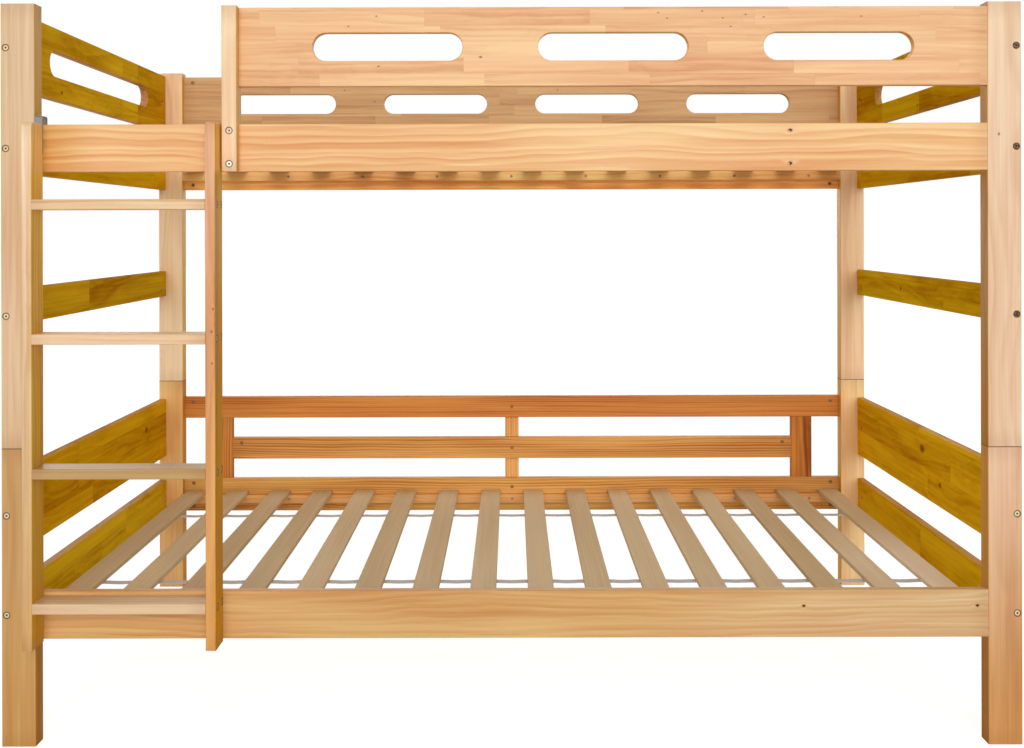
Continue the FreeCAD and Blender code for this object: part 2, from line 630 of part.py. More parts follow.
def barrel_nut():
    """Makes a barrel nut about its middle, with its axis along Z and its bolt hole along X."""
    barrel = primitive("Part::Cylinder", "nut_barrel", {
        "Radius": "nut_diameter / 2", "Height": "nut_length", "Placement.Base.z": "-nut_length / 2"})
    hole = primitive("Part::Cylinder", "nut_hole", {
        "Radius": f"{BORE} / 2", "Height": "2 * nut_diameter", "Placement.Base.x": "-nut_diameter"})
    hole.Placement.Rotation = FreeCAD.Rotation(FreeCAD.Vector(0, 0, 1), FreeCAD.Vector(1, 0, 0))
    groove = primitive("Part::Box", "nut_slot", {
        "Length": "nut_diameter", "Width": "nut_slot_width", "Height": "nut_slot_width",
        "Placement.Base.x": "-nut_diameter / 2", "Placement.Base.y": "-nut_slot_width / 2",
        "Placement.Base.z": "-nut_length / 2"})
    return less("nut", less("nut_drilled", barrel, hole), groove)


def group(label, parts):
    """Puts a copy of a master at each place, as separate solids under one name."""
    doc.recompute()
    result = doc.addObject("Part::Feature", label)
    result.Label = label
    result.Shape = Part.makeCompound([master.Shape.transformed(spot.Matrix) for master, spot in parts])
    pieces.append(result)


def fasteners():
    """Puts every bolt, nut, screw and dowel that the timber was drilled for in its place."""
    masters = {
        "end_bolt": bolt("end_bolt", "post_depth + end_nut_in + bolt_beyond_nut - bolt_bury"),
        "side_bolt": bolt("side_bolt", "post_width + side_nut_in + bolt_beyond_nut - bolt_bury"),
        "guard_bolt": bolt("guard_bolt", "end_batten_width + side_nut_in + bolt_beyond_nut - bolt_bury"),
        "upright_screw": bolt("upright_screw", "upright_screw_length"),
        "tread_screw": bolt("tread_screw", "tread_screw_length"),
        "hook_screw": screw("hook_screw", "hook_screw_length"),
        "ledger_screw": screw("ledger_screw", "ledger_screw_length"),
        "guard_screw": screw("guard_screw", "guard_screw_length"),
        "nut": barrel_nut(),
        "dowel": primitive("Part::Cylinder", "dowel", {
            "Radius": "dowel_diameter / 2", "Height": "dowel_length"}),
    }
    for label, places in hardware.items():
        group(label, [(masters[kind], spot) for kind, spot in places])


def slat_base(level):
    """Makes the sixteen slats on their ledgers and the two straps that hold them in a row."""
    base = f"({RAIL_BASE[level]} + ledger_lift + ledger_height)"
    length = "(bed_width - 2 * board_thick - 2 * slat_end_gap)"
    first = f"(slat_margin - {SIDE_LENGTH} / 2)"
    slat = Timber(f"{level}_slat", "XY", "slat_width", length, "slat_thick",
                  (first, "board_thick + slat_end_gap", base))
    pieces.remove(slat.body)
    step = FreeCAD.Vector(number(SLAT_PITCH), 0, 0)
    group(f"{level}_slats", [(slat.body, FreeCAD.Placement(step * place_number, FreeCAD.Rotation()))
                             for place_number in range(SLAT_COUNT)])
    places = {"front": "front_strap_in", "back": "bed_width - back_strap_in"}
    for row, y in places.items():
        strap = primitive("Part::Box", f"{level}_{row}_strap", {
            "Length": f"{SIDE_LENGTH} - 2 * slat_margin - 2 * strap_end_in",
            "Width": "strap_width", "Height": "strap_thick"})
        place(strap, (f"{first} + strap_end_in", f"{y} - strap_width / 2", f"{base} - strap_thick"))
        strap.Label = strap.Name
        pieces.append(strap)


def round_corners(body, corners, radius):
    """Rounds the edges along X that pass through the given (y, z) corners of a piece."""
    square = body.Tip
    spots = [(number(y), number(z)) for y, z in corners]
    chosen = []
    for index, edge in enumerate(square.Shape.Edges, 1):
        middle = edge.BoundBox.Center
        if any(math.dist((middle.y, middle.z), spot) < number("ease") / 2 for spot in spots):
            chosen.append(f"Edge{index}")
    fillet = body.newObject("PartDesign::Fillet", "bends")
    fillet.Base = (square, chosen)
    bind(fillet, {"Radius": radius})
    doc.recompute()


def hook(name, width, rise, screws):
    """Makes a bent strip: a leg on the stile, a top over the rail and a lip behind it."""
    body = doc.addObject("PartDesign::Body", name)
    top = f"({RAIL_TOP['upper']} + {rise} + hook_thick - {HOOK_FOOT})"
    under = f"({top} - hook_thick)"
    inner = "(hook_thick + ladder_gap + board_thick + hook_play)"
    outer = f"({inner} + hook_thick)"
    tip = f"({RAIL_TOP['upper']} - hook_lip - {HOOK_FOOT})"
    sketch = new_sketch(body, "YZ")
    outline(sketch, [("0", "0"), ("hook_thick", "0"), ("hook_thick", under), (inner, under), (inner, tip),
                     (outer, tip), (outer, top), ("0", top)])
    bar = body.newObject("PartDesign::Pad", "bar")
    bar.Profile = sketch
    bind(bar, {"Length": width})
    doc.recompute()
    round_corners(body, [("0", top), (outer, top)], "hook_bend")
    holes = new_sketch(body, "XZ", "-hook_thick")
    drawn = []
    for height in screws:
        centre = FreeCAD.Vector(number(f"{width} / 2"), number(height), 0)
        circle = Part.Circle(centre, FreeCAD.Vector(0, 0, 1), number("screw_head / 2"))
        drawn.append(holes.addGeometry(circle))
        fix(holes, "DistanceX", -1, 1, drawn[-1], 3, f"{width} / 2")
        fix(holes, "DistanceY", -1, 1, drawn[-1], 3, height)
    holes.addConstraint(Sketcher.Constraint("Equal", *drawn))
    fix(holes, "Diameter", drawn[0], "screw_head + 2 * hole_play")
    before = body.Shape.Volume
    pocket = body.newObject("PartDesign::Pocket", "screw_holes")
    pocket.Profile = holes
    pocket.Reversed = True
    bind(pocket, {"Length": "hook_thick"})
    doc.recompute()
    if not body.Shape.Volume < before:
        raise ValueError(f"no screw holes in {name}")
    return body


def ladder():
    """Makes the hanging ladder: two stiles, four treads, two hooks, a pad and their screws."""
    back = "-ladder_gap"
    front = "(-ladder_gap - stile_depth)"
    stiles = {"left": f"(-{LADDER_OUTER})", "right": f"(ladder_width - {LADDER_OUTER} - stile_thick)"}
    tread_length = "(ladder_width - 2 * stile_thick)"
    depths = ["(stile_depth - tread_screw_in)", "(stile_depth - tread_screw_in - tread_screw_spread)"]
    rise = f"(({STILE_HEIGHT} - top_tread_drop - first_tread_lift) / {TREAD_COUNT - 1})"
    treads = [f"({STILE_BASE} + first_tread_lift + {step} * {rise})" for step in range(TREAD_COUNT)]
    hook_heights = ["hook_screw_low", "(hook_screw_low + hook_screw_spread)"]
    post_side = "(ladder_lap + hook_post_gap)"
    hook_width = f"(stile_thick - {post_side})"

    for step, base in enumerate(treads, 1):
        tread = Timber(f"ladder_tread_{step}", "XY", tread_length, "stile_depth", "tread_thick",
                       (f"{stiles['left']} + stile_thick", front, base))
        for side in SIDES:
            tread.drill(side, [(depth, "tread_thick / 2") for depth in depths], BORE,
                        "bolt_bury + tread_screw_length - stile_thick + hole_play")

    hooks = []
    for side, x in stiles.items():
        stile = Timber(f"ladder_{side}_stile", "YZ", "stile_depth", STILE_HEIGHT, "stile_thick",
                       (x, front, STILE_BASE), rounded=("0", STILE_HEIGHT))
        heights = [f"({base} + tread_thick / 2)" for base in treads]
        stile.bolt_seats(side, [(depth, stile.local(height)) for height in heights for depth in depths],
                         "stile_thick")
        face = f"{x} + bolt_bury" if side == "left" else f"{x} + stile_thick - bolt_bury"
        for height in heights:
            for depth in depths:
                fit("ladder_screws", "tread_screw", point(face, f"{front} + {depth}", height), INWARD_X[side])

        hook_x = post_side if side == "left" else "0"
        hook_middle = f"({hook_x} + {hook_width} / 2)"
        stile.cut("back", lambda sketch: rectangle(sketch, hook_width, "hook_leg",
                                                   (hook_x, f"{STILE_HEIGHT} - hook_leg")), "hook_thick")
        spots = [(hook_middle, f"{STILE_HEIGHT} - hook_leg + {height}") for height in hook_heights]
        stile.drill("back", spots, SCREW_BORE, "hook_screw_length + hole_play")
        for height in hook_heights:
            fit("ladder_screws", "hook_screw", point(f"{x} + {hook_middle}", back, f"{HOOK_FOOT} + {height}"),
                INWARD_Y["back"])
        bent = hook(f"{side}_hook", hook_width, "pad_height" if side == "left" else "0", hook_heights)
        spot = point(f"{x} + {hook_x}", f"{back} - hook_thick", HOOK_FOOT)
        hooks.append((bent, FreeCAD.Placement(spot, FreeCAD.Rotation())))
    group("ladder_hooks", hooks)

    pad = primitive("Part::Box", "ladder_hook_pad", {
        "Length": f"{hook_width} - 2 * pad_inset", "Width": "board_thick", "Height": "pad_height"})
    place(pad, (f"{stiles['left']} + {post_side} + pad_inset", "0", RAIL_TOP["upper"]))
    pad.Label = pad.Name
    pieces.append(pad)


def check():
    """Stops when anything in the model has failed or is not a sound solid."""
    doc.recompute()
    for thing in doc.Objects:
        if {"Invalid", "Error"} & set(thing.State):
            raise ValueError(f"{thing.Label} failed")
    for piece in pieces:
        if piece.Shape.isNull() or not piece.Shape.isValid() or not piece.Shape.Solids:
            raise ValueError(f"{piece.Label} has no sound solid")


for level in LEVELS:
    for row in ROWS:
        for side in SIDES:
            post(level, row, side)

rails = {(level, row): rail_and_ledger(level, row) for level in LEVELS for row in ROWS}
drill_spare_holes(rails["upper", "front"], rails["lower", "front"])

for side in SIDES:
    for level in LEVELS:
        end_board(f"{level}_{side}_end_rail", level, side, RAIL_BASE[level], "rail_height",
                  RAIL_MIDDLE[level])
    end_board(f"lower_{side}_end_board", "lower", side, END_BOARD_BASE, "end_board_height", END_BOARD_BOLT)
    end_board(f"upper_{side}_middle_board", "upper", side, MIDDLE_BOARD_BASE, "middle_board_height",
              MIDDLE_BOARD_BOLT)
    end_board(f"upper_{side}_end_guard", "upper", side, GUARD_BASE, "guard_height", GUARD_MIDDLE,
              [((f"{END_LENGTH} / 2", "guard_height / 2"), "end_slot_length")])

upper_guards()
lower_back_guard(rails["lower", "back"])
for level in LEVELS:
    slat_base(level)
ladder()
fasteners()
check()

for piece in pieces:
    piece.Shape.exportStep(f"parts/{piece.Label}.step")
print(len(pieces), "pieces,", sum(len(piece.Shape.Solids) for piece in pieces), "solids")
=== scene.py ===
import functools
import math
import random
from collections import namedtuple

import bmesh
import bpy
from mathutils import Color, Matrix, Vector


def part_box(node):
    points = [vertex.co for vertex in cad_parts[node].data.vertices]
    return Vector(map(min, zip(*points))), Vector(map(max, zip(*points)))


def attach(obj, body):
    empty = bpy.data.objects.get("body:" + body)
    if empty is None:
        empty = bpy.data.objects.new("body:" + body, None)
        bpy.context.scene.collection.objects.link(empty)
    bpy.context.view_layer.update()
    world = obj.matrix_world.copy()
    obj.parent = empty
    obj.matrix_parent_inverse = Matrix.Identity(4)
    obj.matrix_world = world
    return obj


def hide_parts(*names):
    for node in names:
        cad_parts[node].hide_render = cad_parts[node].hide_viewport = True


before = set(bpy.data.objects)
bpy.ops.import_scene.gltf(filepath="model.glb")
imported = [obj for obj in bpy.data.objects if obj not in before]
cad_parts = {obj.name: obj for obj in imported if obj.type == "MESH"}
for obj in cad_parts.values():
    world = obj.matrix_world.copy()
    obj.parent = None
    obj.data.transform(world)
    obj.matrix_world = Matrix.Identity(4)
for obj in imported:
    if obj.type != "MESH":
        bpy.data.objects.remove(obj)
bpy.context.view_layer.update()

bl_info = {
    "name": "Pine Bunk Bed",
    "version": (1, 0, 0),
    "blender": (4, 5, 0),
    "location": "View3D > Sidebar > Bunk Bed",
    "description": "Finishes a knock-down pine bunk bed and its studio",
    "category": "Object",
}

MM = 0.001
X, Y, Z = AXES = (0, 1, 2)
LEVELS = ("lower", "upper")
ROWS = ("front", "back")
SIDES = ("left", "right")
SLAT_COUNT = 16
SLAT_WIDTH = 55 * MM


def screen(red, green, blue):
    """A colour written as a screen shows it, 0 to 255, in the linear values that shaders take."""
    return tuple(Color((red / 255, green / 255, blue / 255)).from_srgb_to_scene_linear())


def colour(name, description, shade):
    return bpy.props.FloatVectorProperty(name=name, description=description, subtype="COLOR",
                                         size=3, min=0, max=1, default=screen(*shade))


def length(name, description, millimetres):
    return bpy.props.FloatProperty(name=name, description=description, subtype="DISTANCE",
                                   unit="LENGTH", min=0, default=millimetres * MM)


def share(name, description, value):
    return bpy.props.FloatProperty(name=name, description=description, subtype="FACTOR",
                                   min=0, max=1, default=value)


class BunkBedColours(bpy.types.PropertyGroup):
    """Colours of the timber, the metal, the webbing and the studio."""

    post_pale: colour("Upper post, pale", "Pale wood of the upper posts", (240, 204, 166))
    post_late: colour("Upper post, dark", "Dark wood of the upper posts", (208, 158, 112))
    # The lower posts are darker than the upper ones partly as painted shade toward the floor.
    leg_pale: colour("Lower post, pale", "Pale wood of the lower posts", (228, 184, 138))
    leg_late: colour("Lower post, dark", "Dark wood of the lower posts", (192, 138, 84))
    rail_pale: colour("Upper rail, pale", "Pale wood of the upper rails", (255, 219, 162))
    rail_late: colour("Upper rail, dark", "Dark wood of the upper rails", (230, 164, 106))
    # The lower rails are darker than the upper ones partly as painted shade toward the floor.
    base_pale: colour("Lower rail, pale", "Pale wood of the lower rails", (226, 180, 124))
    base_late: colour("Lower rail, dark", "Dark wood of the lower rails", (196, 132, 68))
    guard_pale: colour("Front guard, pale", "Pale wood of the front guard", (250, 208, 157))
    guard_late: colour("Front guard, dark", "Dark wood of the front guard", (222, 160, 112))
    back_pale: colour("Back guard, pale", "Pale wood of the back guard", (232, 190, 142))
    back_late: colour("Back guard, dark", "Dark wood of the back guard", (188, 138, 96))
    open_pale: colour("Open guard, pale", "Pale wood of the open guard", (224, 158, 92))
    open_late: colour("Open guard, dark", "Dark wood of the open guard", (176, 98, 36))
    batten_pale: colour("Red batten, pale", "Pale wood of the right batten", (198, 128, 70))
    batten_late: colour("Red batten, dark", "Dark wood of the right batten", (128, 66, 26))
    end_pale: colour("End board, pale", "Pale wood of the boards at the ends", (240, 196, 138))
    end_late: colour("End board, dark", "Dark wood of the boards at the ends", (186, 128, 64))
    stile_pale: colour("Stile, pale", "Pale wood of the ladder stiles", (240, 192, 144))
    stile_late: colour("Stile, dark", "Dark wood of the ladder stiles", (206, 142, 90))
    tread_pale: colour("Tread, pale", "Pale wood of the ladder treads", (244, 210, 168))
    tread_late: colour("Tread, dark", "Dark wood of the ladder treads", (214, 168, 118))
    slat_pale: colour("Slat, pale", "Bare wood of the slats", (231, 207, 164))
    slat_late: colour("Slat, dark", "Darker fibres of the slats", (208, 179, 130))
    beech: colour("Dowel", "Beech of the dowels", (214, 170, 122))
    # Also the painted shade of open holes.
    knot_and_hole_shade: colour("Knot", "Heart of a knot", (126, 66, 28))
    # Also darkens the ends of the boards, partly end grain and partly painted shade.
    resin_and_end_shade: colour("Resin fleck", "Short dark marks along the grain", (140, 80, 36))
    zinc: colour("Zinc", "Dull plated bolts, nuts and staples", (244, 240, 232))
    hook: colour("Hook", "Grey plated hooks of the ladder", (140, 136, 134))
    yellow_zinc: colour("Yellow zinc", "Heads with a yellow passivation", (208, 176, 112))
    bolt: colour("Bolt", "Warm plating of the bolts", (232, 212, 172))
    back_head: colour("Head at the back", "Dull brown of the heads at the back", (150, 108, 66))
    # Painted shade in the sockets of the heads, round their seats, round their edges and in the seams
    # of the posts; also the stain of some heads.
    shade_and_stain: colour("Recess", "Sockets of the heads and the rims of their seats", (74, 46, 24))
    webbing: colour("Webbing", "Straps below the slats", (226, 222, 222))
    webbing_shade: colour("Webbing, deep", "Gaps in the weave of the straps", (182, 178, 182))
    rubber: colour("Pad", "Soft pad below the ladder hook", (168, 166, 168))
    floor: colour("Floor", "Studio floor", (236, 235, 233))


class BunkBedSizes(bpy.types.PropertyGroup):
    """Sizes of what is added to the frame, and of the studio."""

    strap_sag: length("Strap sag", "Dip of a strap between two slats", 1.2)
    staple_crown: length("Staple crown", "Width of a staple", 11)
    staple_wire: length("Staple wire", "Thickness of its wire", 1)
    staple_spread: length("Staple spread", "Between the two staples of a crossing", 9)
    floor_size: length("Floor size", "Side of the studio floor", 60000)
    lens: bpy.props.FloatProperty(name="Lens", description="Focal length of the camera",
                                  unit="CAMERA", default=39.27)
    camera_back: length("Camera distance", "Front of the bed to the camera", 2232)
    camera_aside: length("Camera aside", "Middle of the bed to the camera", 1.6)
    camera_height: length("Camera height", "Floor to the camera", 1031.2)
    frame_drop: share("Frame drop", "How far the picture hangs below the camera's own height", 0.1411)
    camera_roll: bpy.props.FloatProperty(name="Camera roll", subtype="ANGLE",
                                         description="Tilt of the camera about its line of sight",
                                         default=math.radians(0.13))
    key_light: share("Key light", "Share of the light that comes from the front", 0.62)
    ambient_light: share("Ambient light", "Share of the light that comes from all round", 0.34)
    back_light: share("Back light", "Share of the light on the wall side", 0.4)


class Signal:
    """A value that varies over a surface. Arithmetic on it adds Math nodes to its recipe."""

    def __init__(self, recipe, socket):
        self.recipe = recipe
        self.socket = socket

    def __add__(self, other):
        return self.recipe.maths("ADD", self, other)

    __radd__ = __add__

    def __sub__(self, other):
        return self.recipe.maths("SUBTRACT", self, other)

    def __rsub__(self, other):
        return self.recipe.maths("SUBTRACT", other, self)

    def __mul__(self, other):
        return self.recipe.maths("MULTIPLY", self, other)

    __rmul__ = __mul__

    def __truediv__(self, other):
        return self.recipe.maths("DIVIDE", self, other)

    def __rtruediv__(self, other):
        return self.recipe.maths("DIVIDE", other, self)

    def __pow__(self, power):
        return self.recipe.maths("POWER", self, power)

    def floor(self):
        return self.recipe.maths("FLOOR", self)

    def fraction(self):
        return self.recipe.maths("FRACT", self)

    def root(self):
        return self.recipe.maths("SQRT", self)

    def sine(self):
        return self.recipe.maths("SINE", self)

    def size(self):
        return self.recipe.maths("ABSOLUTE", self)

    def least(self, other):
        return self.recipe.maths("MINIMUM", self, other)

    def most(self, other):
        return self.recipe.maths("MAXIMUM", self, other)

    def rise(self, low, high):
        """0 below low, 1 above high and a smooth step between."""
        return self.recipe.node("ShaderNodeMapRange", {"interpolation_type": "SMOOTHSTEP"},
                                {"Value": self, "From Min": low, "From Max": high})

    def parts(self):
        """The X, Y and Z of a vector."""
        return tuple(self.recipe.node("ShaderNodeSeparateXYZ", {}, {"Vector": self}, axis)
                     for axis in AXES)


class Recipe:
    """Builds the nodes of one material or of the world."""

    def __init__(self, owner):
        owner.use_nodes = True
        self.owner = owner
        self.tree = owner.node_tree
        self.tree.nodes.clear()

    @staticmethod
    def find(sockets, key):
        """A socket by its number, its identifier or its name."""
        if isinstance(key, int):
            return sockets[key]
        return next(found for found in sockets if key in (found.identifier, found.name))

    def node(self, kind, settings, values, output=0):
        """Adds a node: its settings, then the values or links of its sockets. Gives one output."""
        made = self.tree.nodes.new(kind)
        for name, setting in settings.items():
            setattr(made, name, setting)
        for key, value in values.items():
            socket = self.find(made.inputs, key)
            if isinstance(value, Signal):
                self.tree.links.new(value.socket, socket)
            elif socket.type == "RGBA":
                socket.default_value = (*value, 1)
            else:
                socket.default_value = value
        return Signal(self, self.find(made.outputs, output)) if made.outputs else None

    def maths(self, operation, *values):
        return self.node("ShaderNodeMath", {"operation": operation}, dict(enumerate(values)))

    def vector(self, x, y, z):
        return self.node("ShaderNodeCombineXYZ", {}, {"X": x, "Y": y, "Z": z})

    def distance(self, place, spot):
        return self.node("ShaderNodeVectorMath", {"operation": "DISTANCE"},
                         {0: place, 1: tuple(spot)}, "Value")

    def noise(self, spot, detail=1, roughness=0.5):
        return self.node("ShaderNodeTexNoise", {}, {
            "Vector": self.vector(*spot), "Scale": 1, "Detail": detail, "Roughness": roughness})

    def cloud(self, place, sizes, detail):
        """Noise in blots whose sizes along X, Y and Z are given, in the unit of the place."""
        return self.noise([part / size for part, size in zip(place, sizes)], detail)

    def chance(self, *numbers):
        """A random value from 0 to 1 that is the same wherever the three numbers are."""
        return self.node("ShaderNodeTexWhiteNoise", {"noise_dimensions": "3D"},
                         {"Vector": self.vector(*numbers)}, "Value")

    def mix(self, first, second, factor, blend="MIX"):
        return self.node("ShaderNodeMix", {"data_type": "RGBA", "blend_type": blend},
                         {"Factor_Float": factor, "A_Color": first, "B_Color": second},
                         "Result_Color")

    def object_place(self):
        return self.node("ShaderNodeTexCoord", {}, {}, "Object").parts()

    def place_in_mm(self):
        return [part / MM for part in self.object_place()]

    def object_normal(self):
        return self.node("ShaderNodeTexCoord", {}, {}, "Normal").parts()

    def relief(self, height, depth, strength):
        """A bump of a real depth."""
        return self.node("ShaderNodeBump", {},
                         {"Height": height, "Distance": depth, "Strength": strength})

    def skin(self, values):
        """The surface itself, whose steady values are set on its own sockets."""
        surface = self.node("ShaderNodeBsdfPrincipled", {}, values)
        self.node("ShaderNodeOutputMaterial", {}, {"Surface": surface})
        return self.owner


def new_recipe(name):
    return Recipe(bpy.data.materials.new(name))


def put_on(node, material):
    """Gives a node of the frame its finish."""
    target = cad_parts[node]
    target.data.materials.clear()
    target.data.materials.append(material)


# The side of a look is the painted shade on its side toward the middle of the bed.
Look = namedtuple("Look", "pale late ring contrast wander pith swirl stave side blush gloss rough")

# Range of the pith's place across the piece, and in depth, in mm.
STRAIGHT = ((90, 150), (0, 25))
ARCHED = ((0, 25), (30, 60))
SLANTED = ((30, 60), (30, 60))
# Height and length of a glued-up stave in mm, and how much the staves differ in tone.
FINE_STAVE = (32, 330, 0.28)
WIDE_STAVE = (82, 760, 0.25)
# Painted shade by the way a face points: what a colour is multiplied by on a side toward the middle of
# the bed, away from it and on top.
SIDE_SHADE = (0.9, 0.7, 0.16)
RAIL_SIDE_SHADE = (0.85, 0.74, 0.33)
STILE_SIDE_SHADE = (0.99, 0.88, 0.13)
DEEP_SIDE_SHADE = (1.14, 1.1, 0.05)
OUTER_SIDE_SHADE = (1, 0.96, 0.88)
TOP_SHADE = (0.98, 0.95, 0.8)
# What a colour is multiplied by in a reddish patch, and the painted light on the lower slats by the
# right front corner.
BLUSH_TINT = (0.96, 0.85, 0.84)
CORNER_LIGHT_TINT = (1.28, 1.38, 1.75)
# Where that painted light begins, along the bed and across it, in m.
CORNER_LIGHT_REACH = ((0.68, 0.9), (-0.2, 0.2))

# Blots of noise in the wood: their length along the grain and their width across it, in mm.
FIBRE_BLOT = (150, 2)
STREAK_BLOT = (300, 6)
BROAD_BLOT = (800, 90)
FLECK_BLOT = (13, 0.9)
SWIRL_BLOT = (120, 36)
PATCH_BLOT = (260, 60)
FADING_BLOT = (520, 60)
# Two sizes of blots that make up a pattern, with the strength of each.
BLUSH_BLOTS = (((620, 34), 0.55), ((190, 12), 0.45))
WANDER_BLOTS = (((640, 140), 2), ((150, 50), 0.4))
# Between which values of its noise each mark grows from nothing to full.
FADING_RANGE = (0.3, 0.62)
PATCH_RANGE = (0.42, 0.62)
SWIRL_LINE_RANGE = (0, 0.06)
SWIRL_CLOUD_RANGE = (0.48, 0.66)
BLUSH_RANGE = (0.42, 0.6)
FLECK_RANGE = (0.7, 0.78)
# How dark the wood is, where 0 is the pale colour and 1 the late one: with no figure, at most, and
# what each figure adds to it.
PLAIN_DEPTH = 0.22
MOST_DEPTH = 1.25
FIBRE_DEPTH = 0.3
STREAK_DEPTH = 0.6
BROAD_DEPTH = 1.1
SWIRL_LINE_DEPTH = 0.4
SWIRL_CLOUD_DEPTH = 0.55
# Share of a ring where its late wood is darkest, and how dark the faintest ring and the faintest
# stretch along a ring are.
LATE_WOOD = 0.78
FAINTEST_RING = 0.2
FAINTEST_STRETCH = 0.4
# Length in mm over which the rings change their width, and by how many rings.
RING_CHANGE = 24
RING_SPREAD = 2
# How much staves and slats differ: in the place of their noise, in that of their rings, in where the
# joints of a lane start, counted in staves, and in tone.
CELL_STEP = 40
STAVE_SHIFT = 70
SLAT_SHIFT = 3
STAVE_STAGGER = 3
SLAT_SPREAD = 0.9
# Edges of a stave and of its ends, as distances from its middle in staves.
STAVE_EDGE = (0.485, 0.499)
STAVE_END = (0.4975, 0.4992)
# A knot is longer than it is wide. Its edge, and how far it pushes the rings aside, are in radii.
KNOT_STRETCH = 1.4
KNOT_EDGE = (0.6, 1.6)
KNOT_REACH = 6
KNOT_PUSH = 1.8
# Edge of the painted shade round the seat of a head, in radii of that head.
SEAT_SHADE_EDGE = (1.08, 1.32)
# Reach in mm of the darker end of a board, partly end grain and partly painted shade where it meets
# another piece, and of the painted shade in the seam between two posts. That shade grows dark from one
# share of its reach to the other.
END_GRAIN_AND_SHADE_REACH = 45
SEAM_REACH = 1.8
SEAM_EDGE = (0.2, 0.6)
# How strongly each dark mark shows, 0 to 1.
FLECK_SHARE = 0.25
JOINT_SHARE = 0.07
KNOT_AND_HOLE_SHADE_SHARE = 0.75
END_GRAIN_AND_SHADE_SHARE = 0.16
SEAM_SHADE_SHARE = 0.75
SEAT_SHADE_SHARE = 0.72
# Share of the fibres and of the late wood in the relief, the relief's depth and strength, and how
# much each of the two roughens the surface.
FIBRE_HEIGHT = 0.55
LATE_HEIGHT = 0.45
WOOD_RELIEF = (0.2 * MM, 0.5)
FIBRE_ROUGHNESS = 0.16
LATE_ROUGHNESS = 0.06


def pine_look(kind):
    """The finish of each kind of timber: colours, ring width, figure, glued-up staves and gloss."""
    tones = bpy.context.scene.bunk_bed_colours

    def plain(colours, ring, contrast, wander, pith=STRAIGHT, swirl=0, stave=None):
        """A kind of timber; its rings' width, and how far they wander, are in mm."""
        pale, late = (getattr(tones, f"{colours}_{shade}") for shade in ("pale", "late"))
        return Look(pale, late, ring, contrast, wander, pith, swirl, stave,
                    side=SIDE_SHADE, blush=0.7, gloss=0.2, rough=0.42)

    looks = {
        "post": plain("post", 17, 0.3, 40, SLANTED),
        "leg": plain("leg", 17, 0.3, 36, SLANTED),
        "rail": plain("rail", 15, 0.7, 38)._replace(side=RAIL_SIDE_SHADE),
        "base": plain("base", 12, 0.45, 34),
        "guard": plain("guard", 17, 0.4, 44, swirl=0.35, stave=FINE_STAVE),
        "back": plain("back", 16, 0.45, 36, swirl=0.2, stave=FINE_STAVE),
        "open": plain("open", 7, 0.85, 14),
        "batten": plain("batten", 9, 0.9, 22, ARCHED, 0.7),
        "end": plain("end", 18, 0.3, 70, ARCHED, 0.6, WIDE_STAVE)._replace(
            side=DEEP_SIDE_SHADE, gloss=0),
        "stile": plain("stile", 12, 0.4, 22, SLANTED, 0.25)._replace(
            side=STILE_SIDE_SHADE, gloss=0.08),
        "tread": plain("tread", 8, 0.6, 12, SLANTED),
        "slat": plain("slat", 9, 0.2, 12, SLANTED)._replace(blush=0.3, gloss=0.1, rough=0.6),
    }
    return looks[kind]


# Middle of the lower front rail to its spare holes, in mm.
SPARE_HOLE_LIFT = 15.5


def knots_and_hole_shade_of(board):
    """Knots, and painted shade in open holes: place along and across from the middle, and radius, in
    mm.
    """
    pins = ((105, 67), (123, 56), (193, 70), (234, 56), (280, 63), (316, 58), (511, 59), (250, 39),
            (-458, 61), (-514, 41), (-454, -39))
    return {
        "upper_front_guard": tuple((*pin, 1.3) for pin in pins) + ((-250, -21, 2),),
        "upper_back_guard": ((-484, 40, 1.6), (135, 40, 1.6), (-397, 7, 1.6)),
        "upper_left_end_guard": ((290, 17, 8), (290, -15, 7), (-263, -59, 3.4), (451, 5, 2.6)),
        "upper_right_end_guard": ((300, 12, 8), (300, -16, 6), (458, 6, 3), (-1, -62, 3)),
        "ladder_right_stile": ((150, 6, 1.5), (106, 3, 1.6), (44, 4, 1.4)),
        "lower_right_end_board": ((-27, 34, 9), (-140, -30, 5)),
        "lower_left_end_board": ((307, 24, 7),),
        "upper_right_middle_board": ((120, 0, 4),),
        "upper_front_right_post": ((180, -11, 2),),
        "upper_front_rail": ((558, 33, 3.2), (558, -33, 3.2)),
        "lower_front_rail": ((583, SPARE_HOLE_LIFT, 2.7), (930, SPARE_HOLE_LIFT, 2.7)),
    }.get(board, ())


